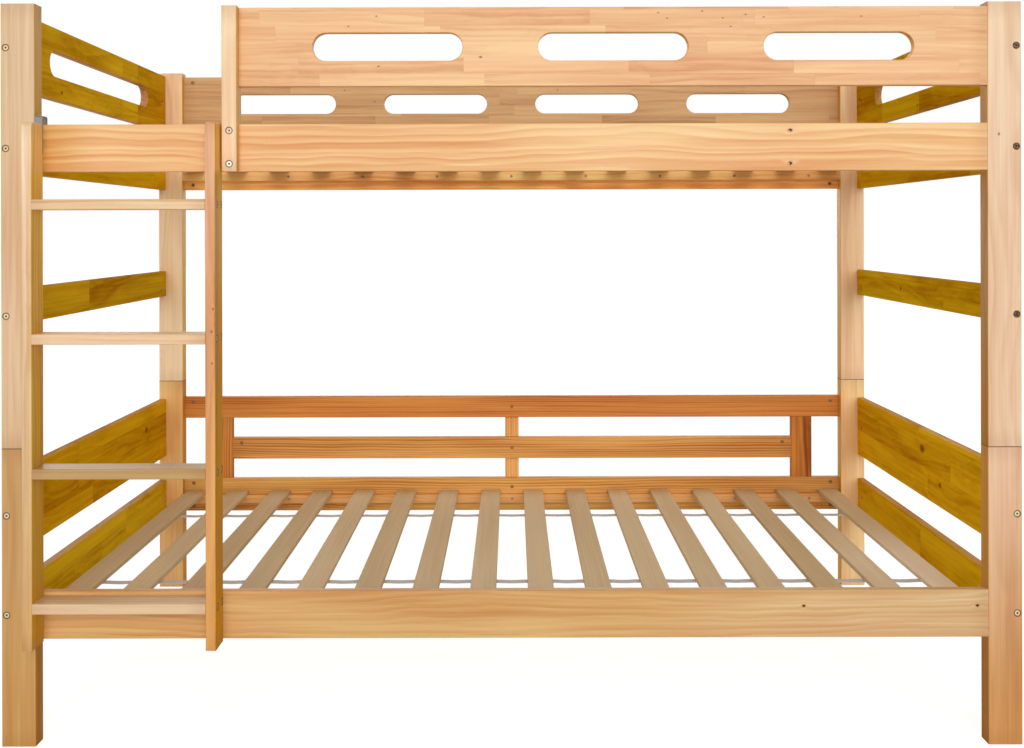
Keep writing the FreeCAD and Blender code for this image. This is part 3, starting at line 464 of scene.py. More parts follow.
# Tints of single boards, partly for their own tone of wood and partly painted light and shade: what
# both of their colours are multiplied by.
TONE_AND_LIGHT_TINTS = {
    "upper_front_left_post": (0.94, 1.02, 1.03),
    "upper_front_right_post": (1.08, 1.2, 1.33),
    "lower_front_left_post": (0.9, 0.95, 0.79),
    "lower_front_right_post": (1.17, 1.33, 1.75),
    "upper_back_left_post": (1.21, 1.35, 1.36),
    "upper_back_right_post": (1.2, 1.28, 1.25),
    "front_guard_upright": (0.98, 1.05, 1.32),
    "lower_back_left_post": (1.3, 1.36, 1.05),
    "lower_back_right_post": (1.4, 1.65, 1.65),
    "ladder_left_stile": (1.3, 1.9, 2.75),
    "ladder_right_stile": (1.12, 1.25, 1.55),
    "lower_back_ledger": (1.12, 1.01, 0.85),
    "upper_left_end_guard": (1.06, 1.16, 1.9),
    "upper_right_end_guard": (0.93, 0.98, 1),
    "upper_right_middle_board": (0.94, 1.03, 1),
    "upper_left_middle_board": (0.94, 1.02, 1.6),
    "lower_left_end_rail": (1.02, 1.15, 1.7),
    "lower_right_end_board": (1.1, 1.14, 1.2),
    "lower_front_rail": (1.02, 1.09, 1.04),
    "lower_back_rail": (1.13, 1.44, 1.3),
    "lower_guard_top_board": (1, 0.87, 0.56),
    "lower_guard_middle_board": (1.08, 1.25, 1.12),
    "lower_guard_left_batten": (1.1, 1.1, 0.8),
    "lower_guard_centre_batten": (1.25, 1.5, 1.5),
    "lower_guard_right_batten": (1.33, 1.28, 0.76),
    "upper_back_guard": (0.88, 0.85, 0.74),
    "upper_back_rail": (1.22, 1.12, 0.74),
    "upper_back_ledger": (1.05, 0.98, 0.73),
    "ladder_tread_1": (0.95, 1, 1.05),
    "ladder_tread_2": (0.64, 0.6, 0.43),
    "ladder_tread_3": (1.06, 1.11, 1.19),
    "ladder_tread_4": (1.06, 1.15, 1.21),
}
# The darker last stave of a guard: where it starts and how far its edge and its glue line reach, in
# mm, and how much darker it is.
WARM_FROM = {"upper_left_end_guard": 242, "upper_right_end_guard": 262}
WARM_JOINT = (1, 3)
WARM_TONE = 0.3
# Painted light and shade at one end of a board, such as the shade toward the floor on the lower posts
# and the stiles: which end along it, how far it fades in mm, and the tint itself.
END_LIGHT_AND_SHADE = {
    "upper_front_rail": (-1, 150, (0.8, 0.7, 0.42)),
    "lower_front_rail": (1, 900, (1.05, 1.22, 1.65)),
    "ladder_left_stile": (-1, 1150, (0.64, 0.47, 0.28)),
    "ladder_right_stile": (-1, 1150, (0.85, 0.67, 0.33)),
    "lower_front_left_post": (-1, 420, (0.92, 0.84, 0.64)),
    "lower_front_right_post": (-1, 620, (0.77, 0.56, 0.28)),
}

# Boards whose painted shade on the side toward the middle of the bed isn't that of the rest of their
# kind.
SIDE_SHADES = {
    "ladder_left_stile": (1.08, 0.94, 0.2),
    "ladder_right_stile": (0.87, 0.78, 0.045),
    "upper_front_right_post": (0.74, 0.5, 0.05),
    "upper_back_left_post": (0.93, 0.75, 0.19),
}

# The painted side shade of the part of each ladder stile that stands in front of the upper rail.
HOOKED_SIDE_SHADES = {
    "ladder_left_stile": (1.08, 0.95, 0.51),
    "ladder_right_stile": (1.16, 1.09, 0.45),
}
# Where that part begins, from the underside of the rail up, in mm.
HOOKED_FROM = (-10, 5)

Head = namedtuple("Head", "spot axis radius")
# Corners of a mesh that are this close are one, and those of one flat end are this close to it.
SAME_CORNER = 0.01 * MM
SAME_END = 0.1 * MM
# Screws whose heads have a yellow passivation.
GOLDEN_SCREWS = ("ladder_screws", "lower_guard_screws")


@functools.cache
def heads_of(node):
    """Where each bolt or screw of a node has the top of its head, and how wide that is."""
    mesh = bmesh.new()
    mesh.from_mesh(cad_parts[node].data)
    bmesh.ops.remove_doubles(mesh, verts=mesh.verts[:], dist=SAME_CORNER)
    heads = []
    for start in mesh.verts:
        if start.tag:
            continue
        start.tag = True
        solid = [start]
        for vertex in solid:
            for edge in vertex.link_edges:
                other = edge.other_vert(vertex)
                if not other.tag:
                    other.tag = True
                    solid.append(other)
        low = Vector(min(vertex.co[axis] for vertex in solid) for axis in AXES)
        high = Vector(max(vertex.co[axis] for vertex in solid) for axis in AXES)
        axis = max(AXES, key=lambda way: (high - low)[way])
        flat = [way for way in AXES if way != axis]
        spot = (low + high) / 2
        radius = max((high - low)[way] for way in flat) / 2
        ends = {}
        for end in (low[axis], high[axis]):
            rim = [vertex.co - spot for vertex in solid if abs(vertex.co[axis] - end) < SAME_END]
            ends[end] = max(abs(away[way]) for away in rim for way in flat)
        spot[axis] = max(ends, key=ends.get)
        heads.append(Head(spot, axis, radius))
    mesh.free()
    return heads


def fastener_nodes():
    return [name for name in sorted(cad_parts) if name.endswith(("_bolts", "_screws"))]


class Timber:
    """The wood of one sawn piece, drawn along its grain, across its face and into its depth."""

    def __init__(self, name, board, order):
        self.recipe = new_recipe(name)
        self.board = board
        self.picks = random.Random(board)
        self.low, self.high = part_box(board)
        self.middle = (self.low + self.high) / 2
        self.size = (self.high - self.low) / MM
        self.order = order or sorted(AXES, key=lambda axis: -self.size[axis])
        self.place = self.recipe.object_place()
        self.along, self.across, self.deep = ((self.place[axis] - self.middle[axis]) / MM
                                              for axis in self.order)
        self.face = self.across
        self.seed = self.picks.uniform(0, 90)
        self.cell = self.seed
        self.tone = 0
        self.joint = 0

    def blot(self, run, width, detail=1, roughness=0.5):
        """Noise in blots of one length along the grain and one width across it."""
        return self.recipe.noise((self.along / run + self.cell, self.across / width, self.deep / width),
                                 detail, roughness)

    def part_rows(self, pitch):
        """Gives each slat of a row a grain and a tone of its own."""
        axis = self.order[1]
        number = ((self.place[axis] - self.low[axis]) / pitch).floor()
        pick = self.recipe.chance(number, self.seed, 0)
        self.cell = pick * CELL_STEP + self.seed
        self.across = self.across + self.cell * SLAT_SHIFT
        self.tone = (pick - 0.5) * SLAT_SPREAD

    def glue_up(self, tall, run, spread):
        """Splits a panel into finger-jointed staves, each with its own grain and tone."""
        row = self.across / tall + self.picks.uniform(0, 1)
        lane = row.floor()
        block = self.along / run + self.recipe.chance(lane, self.seed, 1) * STAVE_STAGGER
        pick = self.recipe.chance(lane, block.floor(), self.seed)
        self.cell = pick * CELL_STEP + self.seed
        self.tone = (pick - 0.5) * spread
        self.across = self.across + (pick - 0.5) * STAVE_SHIFT
        edge = (row.fraction() - 0.5).size().rise(*STAVE_EDGE)
        self.joint = edge.most((block.fraction() - 0.5).size().rise(*STAVE_END))

    def warm_end(self, start):
        """A last stave of darker wood."""
        near, far = (start + reach for reach in WARM_JOINT)
        warm = self.along.rise(start, near)
        self.tone = self.tone + warm * WARM_TONE
        self.joint = self.joint + warm * (1 - self.along.rise(near, far))

    def knots_and_hole_shade(self):
        """The dark heart of each knot and the painted shade of each open hole, and how far they push
        the rings aside.
        """
        heart, push = 0, 0
        for knot_along, knot_across, radius in knots_and_hole_shade_of(self.board):
            beside = (self.along - knot_along) / KNOT_STRETCH
            above = self.face - knot_across
            away = (beside ** 2 + above ** 2).root() / radius
            push = push + (1 - away.rise(0, KNOT_REACH)) * radius * KNOT_PUSH
            heart = (1 - away.rise(*KNOT_EDGE)).most(heart)
        return heart, push

    def rings(self, look, push):
        """How dark the late wood is, 0 to 1: soft bands of uneven width and strength."""
        (near_across, far_across), (near_deep, far_deep) = look.pith
        pith_across = self.picks.uniform(near_across, far_across) * self.picks.choice((-1, 1))
        pith_deep = self.picks.uniform(near_deep, far_deep) * self.picks.choice((-1, 1))
        reach = ((self.across - pith_across) ** 2 + (self.deep - pith_deep) ** 2).root()
        for blot, amount in WANDER_BLOTS:
            reach = reach + (self.blot(*blot) - 0.5) * look.wander * amount
        reach = reach + push
        uneven = self.recipe.noise((reach / RING_CHANGE + self.cell, 0, 0))
        count = reach / look.ring + uneven * RING_SPREAD
        within = count.fraction()
        weight = self.recipe.chance(count.floor(), self.seed, 2)
        late = within.rise(0, LATE_WOOD) * (1 - within.rise(LATE_WOOD, 1))
        late = late * (FAINTEST_RING + weight * (1 - FAINTEST_RING))
        shown = self.blot(*FADING_BLOT).rise(*FADING_RANGE)
        return late * (FAINTEST_STRETCH + shown * (1 - FAINTEST_STRETCH))

    def depth(self, look, late, fibre):
        """How dark the wood is: 0 shows its pale colour and 1 its late one."""
        streak = self.blot(*STREAK_BLOT) - 0.5
        broad = self.blot(*BROAD_BLOT, 2) - 0.5
        depth = PLAIN_DEPTH + late * look.contrast + self.tone + (fibre - 0.5) * FIBRE_DEPTH
        depth = depth + streak * STREAK_DEPTH + broad * BROAD_DEPTH
        if look.swirl:
            cloud = self.blot(*SWIRL_BLOT, 2)
            line = 1 - (cloud - 0.5).size().rise(*SWIRL_LINE_RANGE)
            swirl = line * SWIRL_LINE_DEPTH + cloud.rise(*SWIRL_CLOUD_RANGE) * SWIRL_CLOUD_DEPTH
            depth = depth + swirl * self.blot(*PATCH_BLOT).rise(*PATCH_RANGE) * look.swirl
        return depth.most(0).least(MOST_DEPTH)

    def blush(self):
        """0 to 1 in long reddish patches."""
        long_blots, short_blots = (self.blot(*blot) * amount for blot, amount in BLUSH_BLOTS)
        return (long_blots + short_blots).rise(*BLUSH_RANGE)

    def toward_end(self, way, reach):
        """0 along the board, and 1 at the end that way gives, within a reach in mm."""
        half = self.size[self.order[0]] / 2
        return (self.along * way).rise(half - reach, half)

    def holds(self, spot):
        """Whether a place lies in this piece's box, or at most 1 mm outside it."""
        return all(self.low[axis] - MM < spot[axis] < self.high[axis] + MM for axis in AXES)

    def seat_shade(self):
        """Painted shade round the seats of the bolts and screws that sit in this piece."""
        heads = [head for node in fastener_nodes() for head in heads_of(node)
                 if self.holds(head.spot)]
        here = self.recipe.vector(*self.place)
        rim = 0
        for head in heads:
            away = self.recipe.distance(here, head.spot) / head.radius
            rim = (1 - away.rise(*SEAT_SHADE_EDGE)).most(rim)
        return rim

    def paint_face_shade(self, shade, look):
        """Paints shade by the way a face points: tints the side toward the middle of the bed, the side
        away from it and the top.
        """
        mix = self.recipe.mix
        normal = self.recipe.object_normal()
        inward = 1 if self.middle.x < 0 else -1
        side = SIDE_SHADES.get(self.board, look.side)
        if self.board in HOOKED_SIDE_SHADES:
            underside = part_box("upper_front_rail")[0].z
            beside_rail = self.place[Z].rise(*(underside + lift * MM for lift in HOOKED_FROM))
            side = mix(side, HOOKED_SIDE_SHADES[self.board], beside_rail)
        shade = mix(shade, side, (normal[X] * inward).most(0), "MULTIPLY")
        shade = mix(shade, OUTER_SIDE_SHADE, (normal[X] * -inward).most(0), "MULTIPLY")
        return mix(shade, TOP_SHADE, normal[Z].size(), "MULTIPLY")

    def tint_and_shade_ends(self, shade, tones):
        """Paints light and shade at one end of a board, darkens both ends, partly end grain and partly
        painted shade, and paints shade in the seam between two posts.
        """
        mix = self.recipe.mix
        if self.board in END_LIGHT_AND_SHADE:
            way, reach, tint = END_LIGHT_AND_SHADE[self.board]
            shade = mix(shade, tint, self.toward_end(way, reach), "MULTIPLY")
        # Both ends darker: end grain, and painted shade where a board meets another piece.
        ends = self.toward_end(-1, END_GRAIN_AND_SHADE_REACH).most(self.toward_end(1, END_GRAIN_AND_SHADE_REACH))
        shade = mix(shade, tones.resin_and_end_shade, ends * END_GRAIN_AND_SHADE_SHARE)
        # Painted shade in the seam between a lower and an upper post.
        if self.board.endswith("_post"):
            seam = self.toward_end(1 if self.board.startswith("lower") else -1, SEAM_REACH)
            shade = mix(shade, tones.shade_and_stain, seam.rise(*SEAM_EDGE) * SEAM_SHADE_SHARE)
        return shade


def sawn(name, board, look, order=None, row_pitch=None):
    """Finish of one sawn piece of pine, or of a row of slats."""
    wood = Timber(name, board, order)
    recipe = wood.recipe
    tones = bpy.context.scene.bunk_bed_colours
    if row_pitch:
        wood.part_rows(row_pitch)
    if look.stave:
        wood.glue_up(*look.stave)
    if board in WARM_FROM:
        wood.warm_end(WARM_FROM[board])
    heart, push = wood.knots_and_hole_shade()
    late = wood.rings(look, push)
    fibre = wood.blot(*FIBRE_BLOT, 2, 0.6)
    fleck = wood.blot(*FLECK_BLOT).rise(*FLECK_RANGE)

    shade = recipe.mix(look.pale, look.late, wood.depth(look, late, fibre))
    shade = recipe.mix(shade, BLUSH_TINT, wood.blush() * look.blush, "MULTIPLY")
    shade = recipe.mix(shade, tones.resin_and_end_shade, fleck * FLECK_SHARE + wood.joint * JOINT_SHARE)
    # Knots, and painted shade in open holes.
    shade = recipe.mix(shade, tones.knot_and_hole_shade, heart * KNOT_AND_HOLE_SHADE_SHARE)
    # Painted shade by the way each face points.
    if not row_pitch:
        shade = wood.paint_face_shade(shade, look)
    # Painted light on the lower slats by the right front corner.
    if board == "lower_slats":
        along, across = CORNER_LIGHT_REACH
        corner_light = wood.place[X].rise(*along) * (1 - wood.place[Y].rise(*across))
        shade = recipe.mix(shade, CORNER_LIGHT_TINT, corner_light, "MULTIPLY")
    shade = wood.tint_and_shade_ends(shade, tones)
    # Painted shade round the seats of the heads.
    if not board.endswith("_ledger"):
        shade = recipe.mix(shade, tones.shade_and_stain, wood.seat_shade() * SEAT_SHADE_SHARE)
    height = fibre * FIBRE_HEIGHT + late * LATE_HEIGHT
    return recipe.skin({
        "Base Color": shade,
        "Roughness": look.rough + (fibre - 0.5) * FIBRE_ROUGHNESS + late * LATE_ROUGHNESS,
        "Normal": recipe.relief(height, *WOOD_RELIEF),
        "Specular IOR Level": look.gloss,
    })


# Room in mm that holds one head, so that each is yellow or not as a whole.
HEAD_CELL = (45, 60, 33)
# Where the brown heads of the back start, across the bed, and the stained ones, along it, in m.
BACK_HEADS = (0.3, 0.4)
STAINED_HEADS = (0.9, 0.92)
# Where the painted shade round the edge of a head begins, in radii, and how deep below its top the
# painted shade of a socket begins, in mm.
HEAD_EDGE_SHADE = (0.74, 0.9)
SOCKET_SHADE_DEPTH = (0.3, 0.7)
DULL_METAL = (0.3, 0.26, 0.22)
WORN_RUBBER = (0.2, 0.19, 0.18)
# Between two threads of the webbing, in mm.
WARP_PITCH = 1.4
WEFT_PITCH = 1.8


def nearest(distances):
    return functools.reduce(Signal.least, distances)


def head_stain_and_shade(recipe, metal, node, place):
    """Yellow and stained heads, and the painted shade in the sockets and round the edges of them all.
    """
    tones = bpy.context.scene.bunk_bed_colours
    heads = heads_of(node)
    x, y, z = (part / MM for part in place)
    pick = recipe.chance(*((part / cell).floor() for part, cell in zip((x, y, z), HEAD_CELL)))
    metal = recipe.mix(metal, tones.yellow_zinc, pick.rise(0.6, 0.66) * 0.5)
    metal = recipe.mix(metal, tones.back_head, place[Y].rise(*BACK_HEADS) * 0.75)
    # Painted shade round the edge of each head.
    if "ledger" not in node:
        here = recipe.vector(*place)
        away = nearest(recipe.distance(here, head.spot) / head.radius for head in heads)
        metal = recipe.mix(metal, tones.shade_and_stain, away.rise(*HEAD_EDGE_SHADE) * 0.8)
    if node.startswith("upper"):
        stained = place[X].rise(*STAINED_HEADS) * (1 - (z + x * 0.3).sine() * 0.1)
        metal = recipe.mix(metal, tones.shade_and_stain, stained * 0.9)
    # Painted shade in the sockets, below the tops of the heads.
    planes = sorted({(head.axis, round(head.spot[head.axis], 5)) for head in heads})
    sunk = nearest((place[axis] - plane).size() for axis, plane in planes)
    socket = sunk.rise(*(depth * MM for depth in SOCKET_SHADE_DEPTH))
    return recipe.mix(metal, tones.shade_and_stain, socket * (0.5 if "ledger" in node else 0.85))


def zinc_finish(name, node=None, plating=None):
    """Dull plating with cloudy spots, and the stains and painted shade of the heads where a node has
    them.
    """
    recipe = new_recipe(name)
    tones = bpy.context.scene.bunk_bed_colours
    place = recipe.place_in_mm()
    cloud = recipe.cloud(place, (3, 3, 3), 3)
    scratch = recipe.cloud(place, (0.5, 6, 0.5), 2)
    metal = recipe.mix(plating or tones.zinc, DULL_METAL, cloud.rise(0.5, 0.85) * 0.35)
    if node:
        metal = head_stain_and_shade(recipe, metal, node, recipe.object_place())
    return recipe.skin({
        "Base Color": metal,
        "Metallic": 0.6 - cloud.rise(0.3, 0.7) * 0.4,
        "Roughness": 0.42 + cloud * 0.2,
        "Normal": recipe.relief(scratch, 0.05 * MM, 0.5),
        "Specular IOR Level": 0.25,
    })


def beech_finish():
    """Turned beech with short dark rays."""
    recipe = new_recipe("beech")
    tones = bpy.context.scene.bunk_bed_colours
    place = recipe.place_in_mm()
    fibre = recipe.cloud(place, (1.5, 1.5, 40), 2)
    ray = recipe.cloud(place, (0.8, 0.8, 4), 1).rise(0.62, 0.72)
    wood = recipe.mix(tones.beech, tones.resin_and_end_shade, fibre * 0.3 + ray * 0.3)
    return recipe.skin({"Base Color": wood, "Roughness": 0.55 + fibre * 0.1,
                        "Normal": recipe.relief(fibre, 0.1 * MM, 0.6)})


def rubber_finish():
    """Soft grey pad with a fine moulded grain."""
    recipe = new_recipe("soft_pad")
    tones = bpy.context.scene.bunk_bed_colours
    place = recipe.place_in_mm()
    grain = recipe.cloud(place, (0.7, 0.7, 0.7), 2)
    cloud = recipe.cloud(place, (7, 7, 7), 2)
    shade = recipe.mix(tones.rubber, WORN_RUBBER, cloud.rise(0.4, 0.9) * 0.4)
    return recipe.skin({"Base Color": shade, "Roughness": 0.7 + cloud * 0.15,
                        "Normal": recipe.relief(grain, 0.12 * MM, 0.7)})


def webbing_finish():
    """Woven strap: warp threads along it, weft threads across it, and uneven colour."""
    recipe = new_recipe("strap_weave")
    tones = bpy.context.scene.bunk_bed_colours
    place = recipe.place_in_mm()
    warp = (place[Y] * (math.tau / WARP_PITCH)).sine()
    weft = (place[X] * (math.tau / WEFT_PITCH)).sine()
    thread = (warp * weft + 1) / 2
    cloud = recipe.cloud(place, (60, 20, 20), 2)
    weave = recipe.mix(tones.webbing, tones.webbing_shade, thread * 0.55 + (cloud - 0.5) * 0.4)
    return recipe.skin({"Base Color": weave, "Roughness": 0.75 + thread * 0.1,
                        "Normal": recipe.relief(thread, 0.2 * MM, 0.8)})


def new_piece(name, mesh, material, body):
    """Makes a finished mesh a piece of the bed that moves with a body."""
    data = bpy.data.meshes.new(name)
    mesh.to_mesh(data)
    mesh.free()
    data.materials.append(material)
    piece = bpy.data.objects.new(name, data)
    bpy.context.scene.collection.objects.link(piece)
    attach(piece, body)
    return piece


# Faces of a strap along it and across it.
STRAP_GRID = (360, 4)
# Thickness of the webbing as a share of the plain strap's.
STRAP_SHARE = 0.97
# How thick a staple's flattened wire is, and how far its edges are rounded, as shares of the wire.
FLAT_WIRE = 0.7
ROUND_WIRE = 0.2


def slat_places(level):
    """Pitch of the slats, and the middle of the first one along the bed."""
    low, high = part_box(f"{level}_slats")
    pitch = (high.x - low.x - SLAT_WIDTH) / (SLAT_COUNT - 1)
    return pitch, low.x + SLAT_WIDTH / 2


def make_strap(level, row, material):
    """Makes a strap that follows the undersides of the slats and dips a little between them."""
    node = f"{level}_{row}_strap"
    low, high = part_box(node)
    pitch, first = slat_places(level)
    sag = bpy.context.scene.bunk_bed_sizes.strap_sag
    along, across = STRAP_GRID
    mesh = bmesh.new()
    bmesh.ops.create_grid(mesh, x_segments=along, y_segments=across, size=0.5)
    picks = random.Random(node)
    sags = [sag * picks.uniform(0.5, 1) for gap in range(SLAT_COUNT - 1)]
    for vertex in mesh.verts:
        x = low.x + (vertex.co.x + 0.5) * (high.x - low.x)
        y = low.y + (vertex.co.y + 0.5) * (high.y - low.y)
        gap = (x - first) / pitch
        share_past = ((gap % 1) * pitch - SLAT_WIDTH / 2) / (pitch - SLAT_WIDTH)
        dip = 0
        if 0 < share_past < 1 and 0 <= gap < SLAT_COUNT - 1:
            dip = sags[int(gap)] * math.sin(math.pi * share_past) ** 2
        vertex.co = (x, y, low.z - dip)
    bmesh.ops.recalc_face_normals(mesh, faces=mesh.faces[:])
    bmesh.ops.solidify(mesh, geom=mesh.faces[:], thickness=-(high.z - low.z) * STRAP_SHARE)
    bmesh.ops.recalc_face_normals(mesh, faces=mesh.faces[:])
    strap = new_piece(f"{node}_webbing", mesh, material, f"{level}_slat_base")
    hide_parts(node)


def make_staples(level, material):
    """Makes two wire staples at each crossing of a slat and a strap."""
    sizes = bpy.context.scene.bunk_bed_sizes
    wire = sizes.staple_wire
    pitch, first = slat_places(level)
    mesh = bmesh.new()
    for row in ROWS:
        low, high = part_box(f"{level}_{row}_strap")
        for number in range(SLAT_COUNT):
            for way in (-1, 1):
                spot = (first + number * pitch + way * sizes.staple_spread,
                        (low.y + high.y) / 2, low.z - wire * FLAT_WIRE / 2)
                crown = bmesh.ops.create_cube(mesh, size=1)["verts"]
                bmesh.ops.scale(mesh, verts=crown, vec=(wire, sizes.staple_crown, wire * FLAT_WIRE))
                bmesh.ops.translate(mesh, verts=crown, vec=spot)
    bmesh.ops.bevel(mesh, geom=mesh.edges[:], offset=wire * ROUND_WIRE, offset_type="OFFSET",
                    affect="EDGES", segments=2, profile=0.5, material=-1)
    new_piece(f"{level}_staples", mesh, material, f"{level}_slat_base")


def finish_boards(kind, boards, order=None):
    """Finishes boards of one kind; a board may have a tint of its own, partly its tone of wood and
    partly painted light and shade.
    """
    look = pine_look(kind)
    for board in boards:
        tint = TONE_AND_LIGHT_TINTS.get(board, (1, 1, 1))
        pale, late = (tuple(part * change for part, change in zip(shade, tint))
                      for shade in (look.pale, look.late))
        put_on(board, sawn(f"pine_{board}", board, look._replace(pale=pale, late=late), order))


class BUNKBED_OT_posts(bpy.types.Operator):
    """Finishes the eight corner posts"""

    bl_idname = "bunkbed.posts"
    bl_label = "Corner Posts"

    def execute(self, context):
        for level, kind in zip(LEVELS, ("leg", "post")):
            finish_boards(kind, [f"{level}_{row}_{side}_post" for row in ROWS for side in SIDES])
        return {"FINISHED"}


class BUNKBED_OT_rails(bpy.types.Operator):
    """Finishes the side rails, their ledgers and the upright of the front guard"""

    bl_idname = "bunkbed.rails"
    bl_label = "Side Rails"

    def execute(self, context):
        finish_boards("rail", ["upper_front_rail", "front_guard_upright"])
        finish_boards("rail", ["upper_back_rail", "upper_back_ledger", "upper_front_ledger"])
        finish_boards("base", ["lower_front_rail", "lower_front_ledger", "lower_back_ledger"])
        finish_boards("open", ["lower_back_rail"])
        return {"FINISHED"}


class BUNKBED_OT_end_boards(bpy.types.Operator):
    """Finishes every board between a front and a back post"""

    bl_idname = "bunkbed.end_boards"
    bl_label = "End Boards"

    def execute(self, context):
        parts = ("lower_{}_end_rail", "lower_{}_end_board", "upper_{}_end_rail",
                 "upper_{}_middle_board", "upper_{}_end_guard")
        finish_boards("end", [part.format(side) for part in parts for side in SIDES])
        return {"FINISHED"}


class BUNKBED_OT_guards(bpy.types.Operator):
    """Finishes the slotted guards and the open guard of the lower bed"""

    bl_idname = "bunkbed.guards"
    bl_label = "Guards"

    def execute(self, context):
        finish_boards("guard", ["upper_front_guard"])
        finish_boards("back", ["upper_back_guard"])
        finish_boards("open", ["lower_guard_top_board", "lower_guard_middle_board",
                               "lower_guard_left_batten", "lower_guard_centre_batten"])
        finish_boards("batten", ["lower_guard_right_batten"])
        return {"FINISHED"}


class BUNKBED_OT_ladder(bpy.types.Operator):
    """Finishes the stiles, treads, hooks and pad of the ladder"""

    bl_idname = "bunkbed.ladder"
    bl_label = "Ladder"

    def execute(self, context):
        finish_boards("stile", [f"ladder_{side}_stile" for side in SIDES], (Z, X, Y))
        finish_boards("tread", [name for name in sorted(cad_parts)
                                if name.startswith("ladder_tread_")])
        grey = context.scene.bunk_bed_colours.hook
        put_on("ladder_hooks", zinc_finish("hook_zinc", plating=grey))
        put_on("ladder_hook_pad", rubber_finish())
        return {"FINISHED"}


class BUNKBED_OT_slats(bpy.types.Operator):
    """Finishes the slats of both beds, each slat with a grain of its own"""

    bl_idname = "bunkbed.slats"
    bl_label = "Slats"

    def execute(self, context):
        for level in LEVELS:
            slats = f"{level}_slats"
            pitch = slat_places(level)[0]
            put_on(slats, sawn(f"pine_{slats}", slats, pine_look("slat"), (Y, X, Z), pitch))
        return {"FINISHED"}


class BUNKBED_OT_straps(bpy.types.Operator):
    """Makes the webbing straps below the slats and the staples that hold them"""

    bl_idname = "bunkbed.straps"
    bl_label = "Straps and Staples"

    def execute(self, context):
        weave = webbing_finish()
        metal = zinc_finish("staple_wire")
        for level in LEVELS:
            for row in ROWS:
                make_strap(level, row, weave)
            make_staples(level, metal)
        return {"FINISHED"}


class BUNKBED_OT_fasteners(bpy.types.Operator):
    """Finishes the bolts, nuts, screws and dowels"""

    bl_idname = "bunkbed.fasteners"
    bl_label = "Fasteners"

    def execute(self, context):
        tones = context.scene.bunk_bed_colours
        for name in fastener_nodes():
            plating = tones.bolt if name.endswith("_bolts") else None
            if name in GOLDEN_SCREWS:
                plating = tones.yellow_zinc
            put_on(name, zinc_finish(f"zinc_{name}", name, plating))
        nuts = zinc_finish("nut_zinc", plating=tones.back_head)
        for level in LEVELS:
            put_on(f"{level}_barrel_nuts", nuts)
        put_on("post_dowels", beech_finish())
        return {"FINISHED"}


WHITE = (1, 1, 1)
AMBIENT_TINT = (1, 0.97, 0.9)
# What the camera sees of the floor: how far its own light is dimmed, and the glow that whitens it.
FLOOR_DIMMING = 0.55
FLOOR_GLOW = 0.86
# Width of the camera's sensor in mm, and how far the camera sees in m.
SENSOR_WIDTH = 36
FAR_CLIP = 200


def studio_world(share_of_light):
    """White to the camera, to gloss and to glass; an even soft light to everything else."""
    world = bpy.data.worlds.new("studio")
    bpy.context.scene.world = world
    recipe = Recipe(world)
    seen = [recipe.node("ShaderNodeLightPath", {}, {}, output)
            for output in ("Is Camera Ray", "Is Glossy Ray", "Is Transmission Ray")]
    soft = recipe.node("ShaderNodeBackground", {}, {"Color": AMBIENT_TINT, "Strength": share_of_light})
    white = recipe.node("ShaderNodeBackground", {}, {"Color": WHITE, "Strength": 1})
    both = recipe.node("ShaderNodeMixShader", {}, {
        0: (seen[0] + seen[1] + seen[2]).least(1), 1: soft, 2: white})
    recipe.node("ShaderNodeOutputWorld", {}, {"Surface": both})


def studio_floor(side):
    """A pale floor that shows white where it is clear and keeps the bed's soft shadow."""
    tones = bpy.context.scene.bunk_bed_colours
    mesh = bmesh.new()
    bmesh.ops.create_grid(mesh, x_segments=2, y_segments=2, size=side / 2)
    data = bpy.data.meshes.new("studio_floor")
    mesh.to_mesh(data)
    mesh.free()
    recipe = new_recipe("studio_floor")
    cloud = recipe.cloud(recipe.object_place(), (0.5, 0.5, 1), 2)
    tint = recipe.mix(tones.floor, WHITE, cloud * 0.3)
    matt = recipe.node("ShaderNodeBsdfDiffuse", {}, {"Color": tint})
    dimmed = recipe.mix(tint, (0, 0, 0), FLOOR_DIMMING)
    dim = recipe.node("ShaderNodeBsdfDiffuse", {}, {"Color": dimmed})
    glow = recipe.node("ShaderNodeEmission", {}, {"Color": WHITE, "Strength": FLOOR_GLOW})
    lit = recipe.node("ShaderNodeAddShader", {}, {0: dim, 1: glow})
    camera = recipe.node("ShaderNodeLightPath", {}, {}, "Is Camera Ray")
    both = recipe.node("ShaderNodeMixShader", {}, {0: camera, 1: matt, 2: lit})
    recipe.node("ShaderNodeOutputMaterial", {}, {"Surface": both})
    data.materials.append(recipe.owner)
    floor = bpy.data.objects.new("studio_floor", data)
    bpy.context.scene.collection.objects.link(floor)


def soft_sun(name, share_of_light, towards, angle):
    """A distant soft lamp; at a share of 1 it alone shows a colour as it is written."""
    lamp = bpy.data.lights.new(name, "SUN")
    lamp.energy = share_of_light * math.pi
    lamp.angle = math.radians(angle)
    holder = bpy.data.objects.new(name, lamp)
    holder.rotation_euler = Vector(towards).to_track_quat("-Z", "Y").to_euler()
    bpy.context.scene.collection.objects.link(holder)


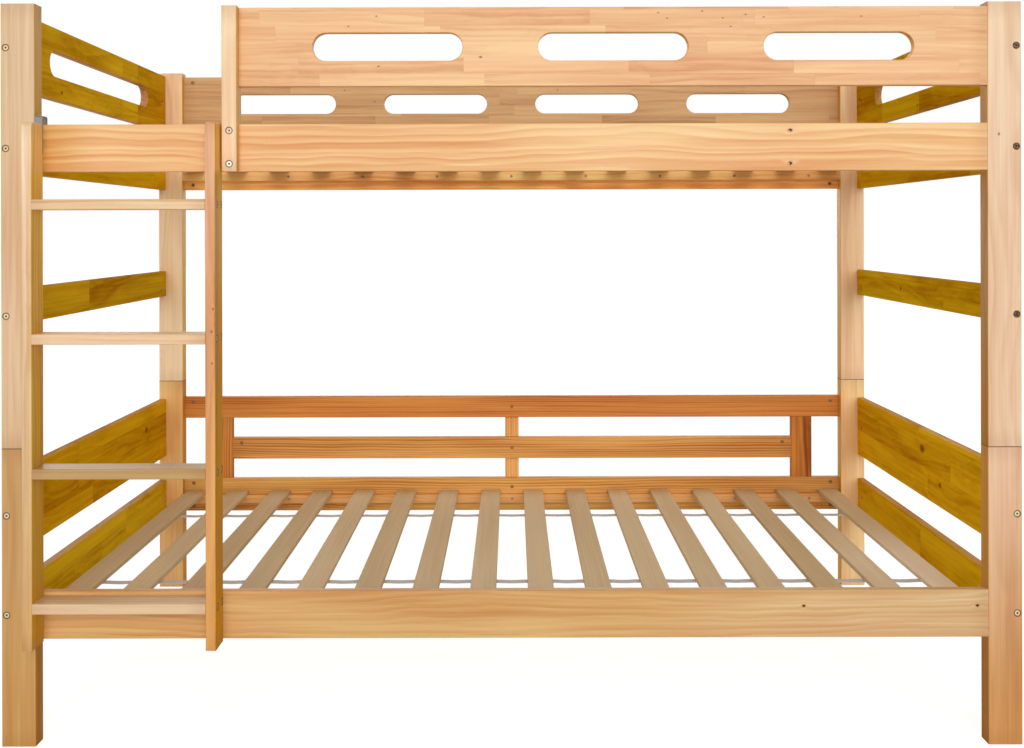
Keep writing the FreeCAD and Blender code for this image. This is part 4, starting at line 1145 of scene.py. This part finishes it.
class BUNKBED_OT_stage(bpy.types.Operator):
    """Sets up the camera, the floor, the backdrop and the lamps"""

    bl_idname = "bunkbed.stage"
    bl_label = "Studio"

    def execute(self, context):
        sizes = context.scene.bunk_bed_sizes
        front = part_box("upper_front_right_post")[0].y
        camera = bpy.data.cameras.new("photo_camera")
        camera.lens = sizes.lens
        camera.sensor_width = SENSOR_WIDTH
        camera.sensor_fit = "HORIZONTAL"
        camera.shift_y = -sizes.frame_drop
        camera.clip_end = FAR_CLIP
        holder = bpy.data.objects.new("photo_camera", camera)
        holder.location = (sizes.camera_aside, front - sizes.camera_back, sizes.camera_height)
        holder.rotation_euler = (math.pi / 2, sizes.camera_roll, 0)
        context.scene.collection.objects.link(holder)
        context.scene.camera = holder
        context.scene.view_settings.view_transform = "Standard"
        studio_world(sizes.ambient_light)
        studio_floor(sizes.floor_size)
        soft_sun("key_lamp", sizes.key_light, towards=(-0.1, 1, -0.3), angle=45)
        soft_sun("back_lamp", sizes.back_light, towards=(0.25, -1, -0.15), angle=60)
        return {"FINISHED"}


OPERATORS = (
    BUNKBED_OT_stage,
    BUNKBED_OT_posts,
    BUNKBED_OT_rails,
    BUNKBED_OT_end_boards,
    BUNKBED_OT_guards,
    BUNKBED_OT_slats,
    BUNKBED_OT_straps,
    BUNKBED_OT_ladder,
    BUNKBED_OT_fasteners,
)


class BUNKBED_PT_panel(bpy.types.Panel):
    """Lists the steps that finish the bed"""

    bl_idname = "BUNKBED_PT_panel"
    bl_label = "Bunk Bed"
    bl_space_type = "VIEW_3D"
    bl_region_type = "UI"
    bl_category = "Bunk Bed"

    def draw(self, context):
        for operator in OPERATORS:
            self.layout.operator(operator.bl_idname)


CLASSES = (BunkBedColours, BunkBedSizes, *OPERATORS, BUNKBED_PT_panel)


def register():
    for one in CLASSES:
        bpy.utils.register_class(one)
    bpy.types.Scene.bunk_bed_colours = bpy.props.PointerProperty(type=BunkBedColours)
    bpy.types.Scene.bunk_bed_sizes = bpy.props.PointerProperty(type=BunkBedSizes)


def unregister():
    del bpy.types.Scene.bunk_bed_sizes
    del bpy.types.Scene.bunk_bed_colours
    for one in reversed(CLASSES):
        bpy.utils.unregister_class(one)


def main():
    register()
    for operator in OPERATORS:
        step = operator.bl_idname.removeprefix("bunkbed.")
        getattr(bpy.ops.bunkbed, step)()


if __name__ == "__main__":
    main()
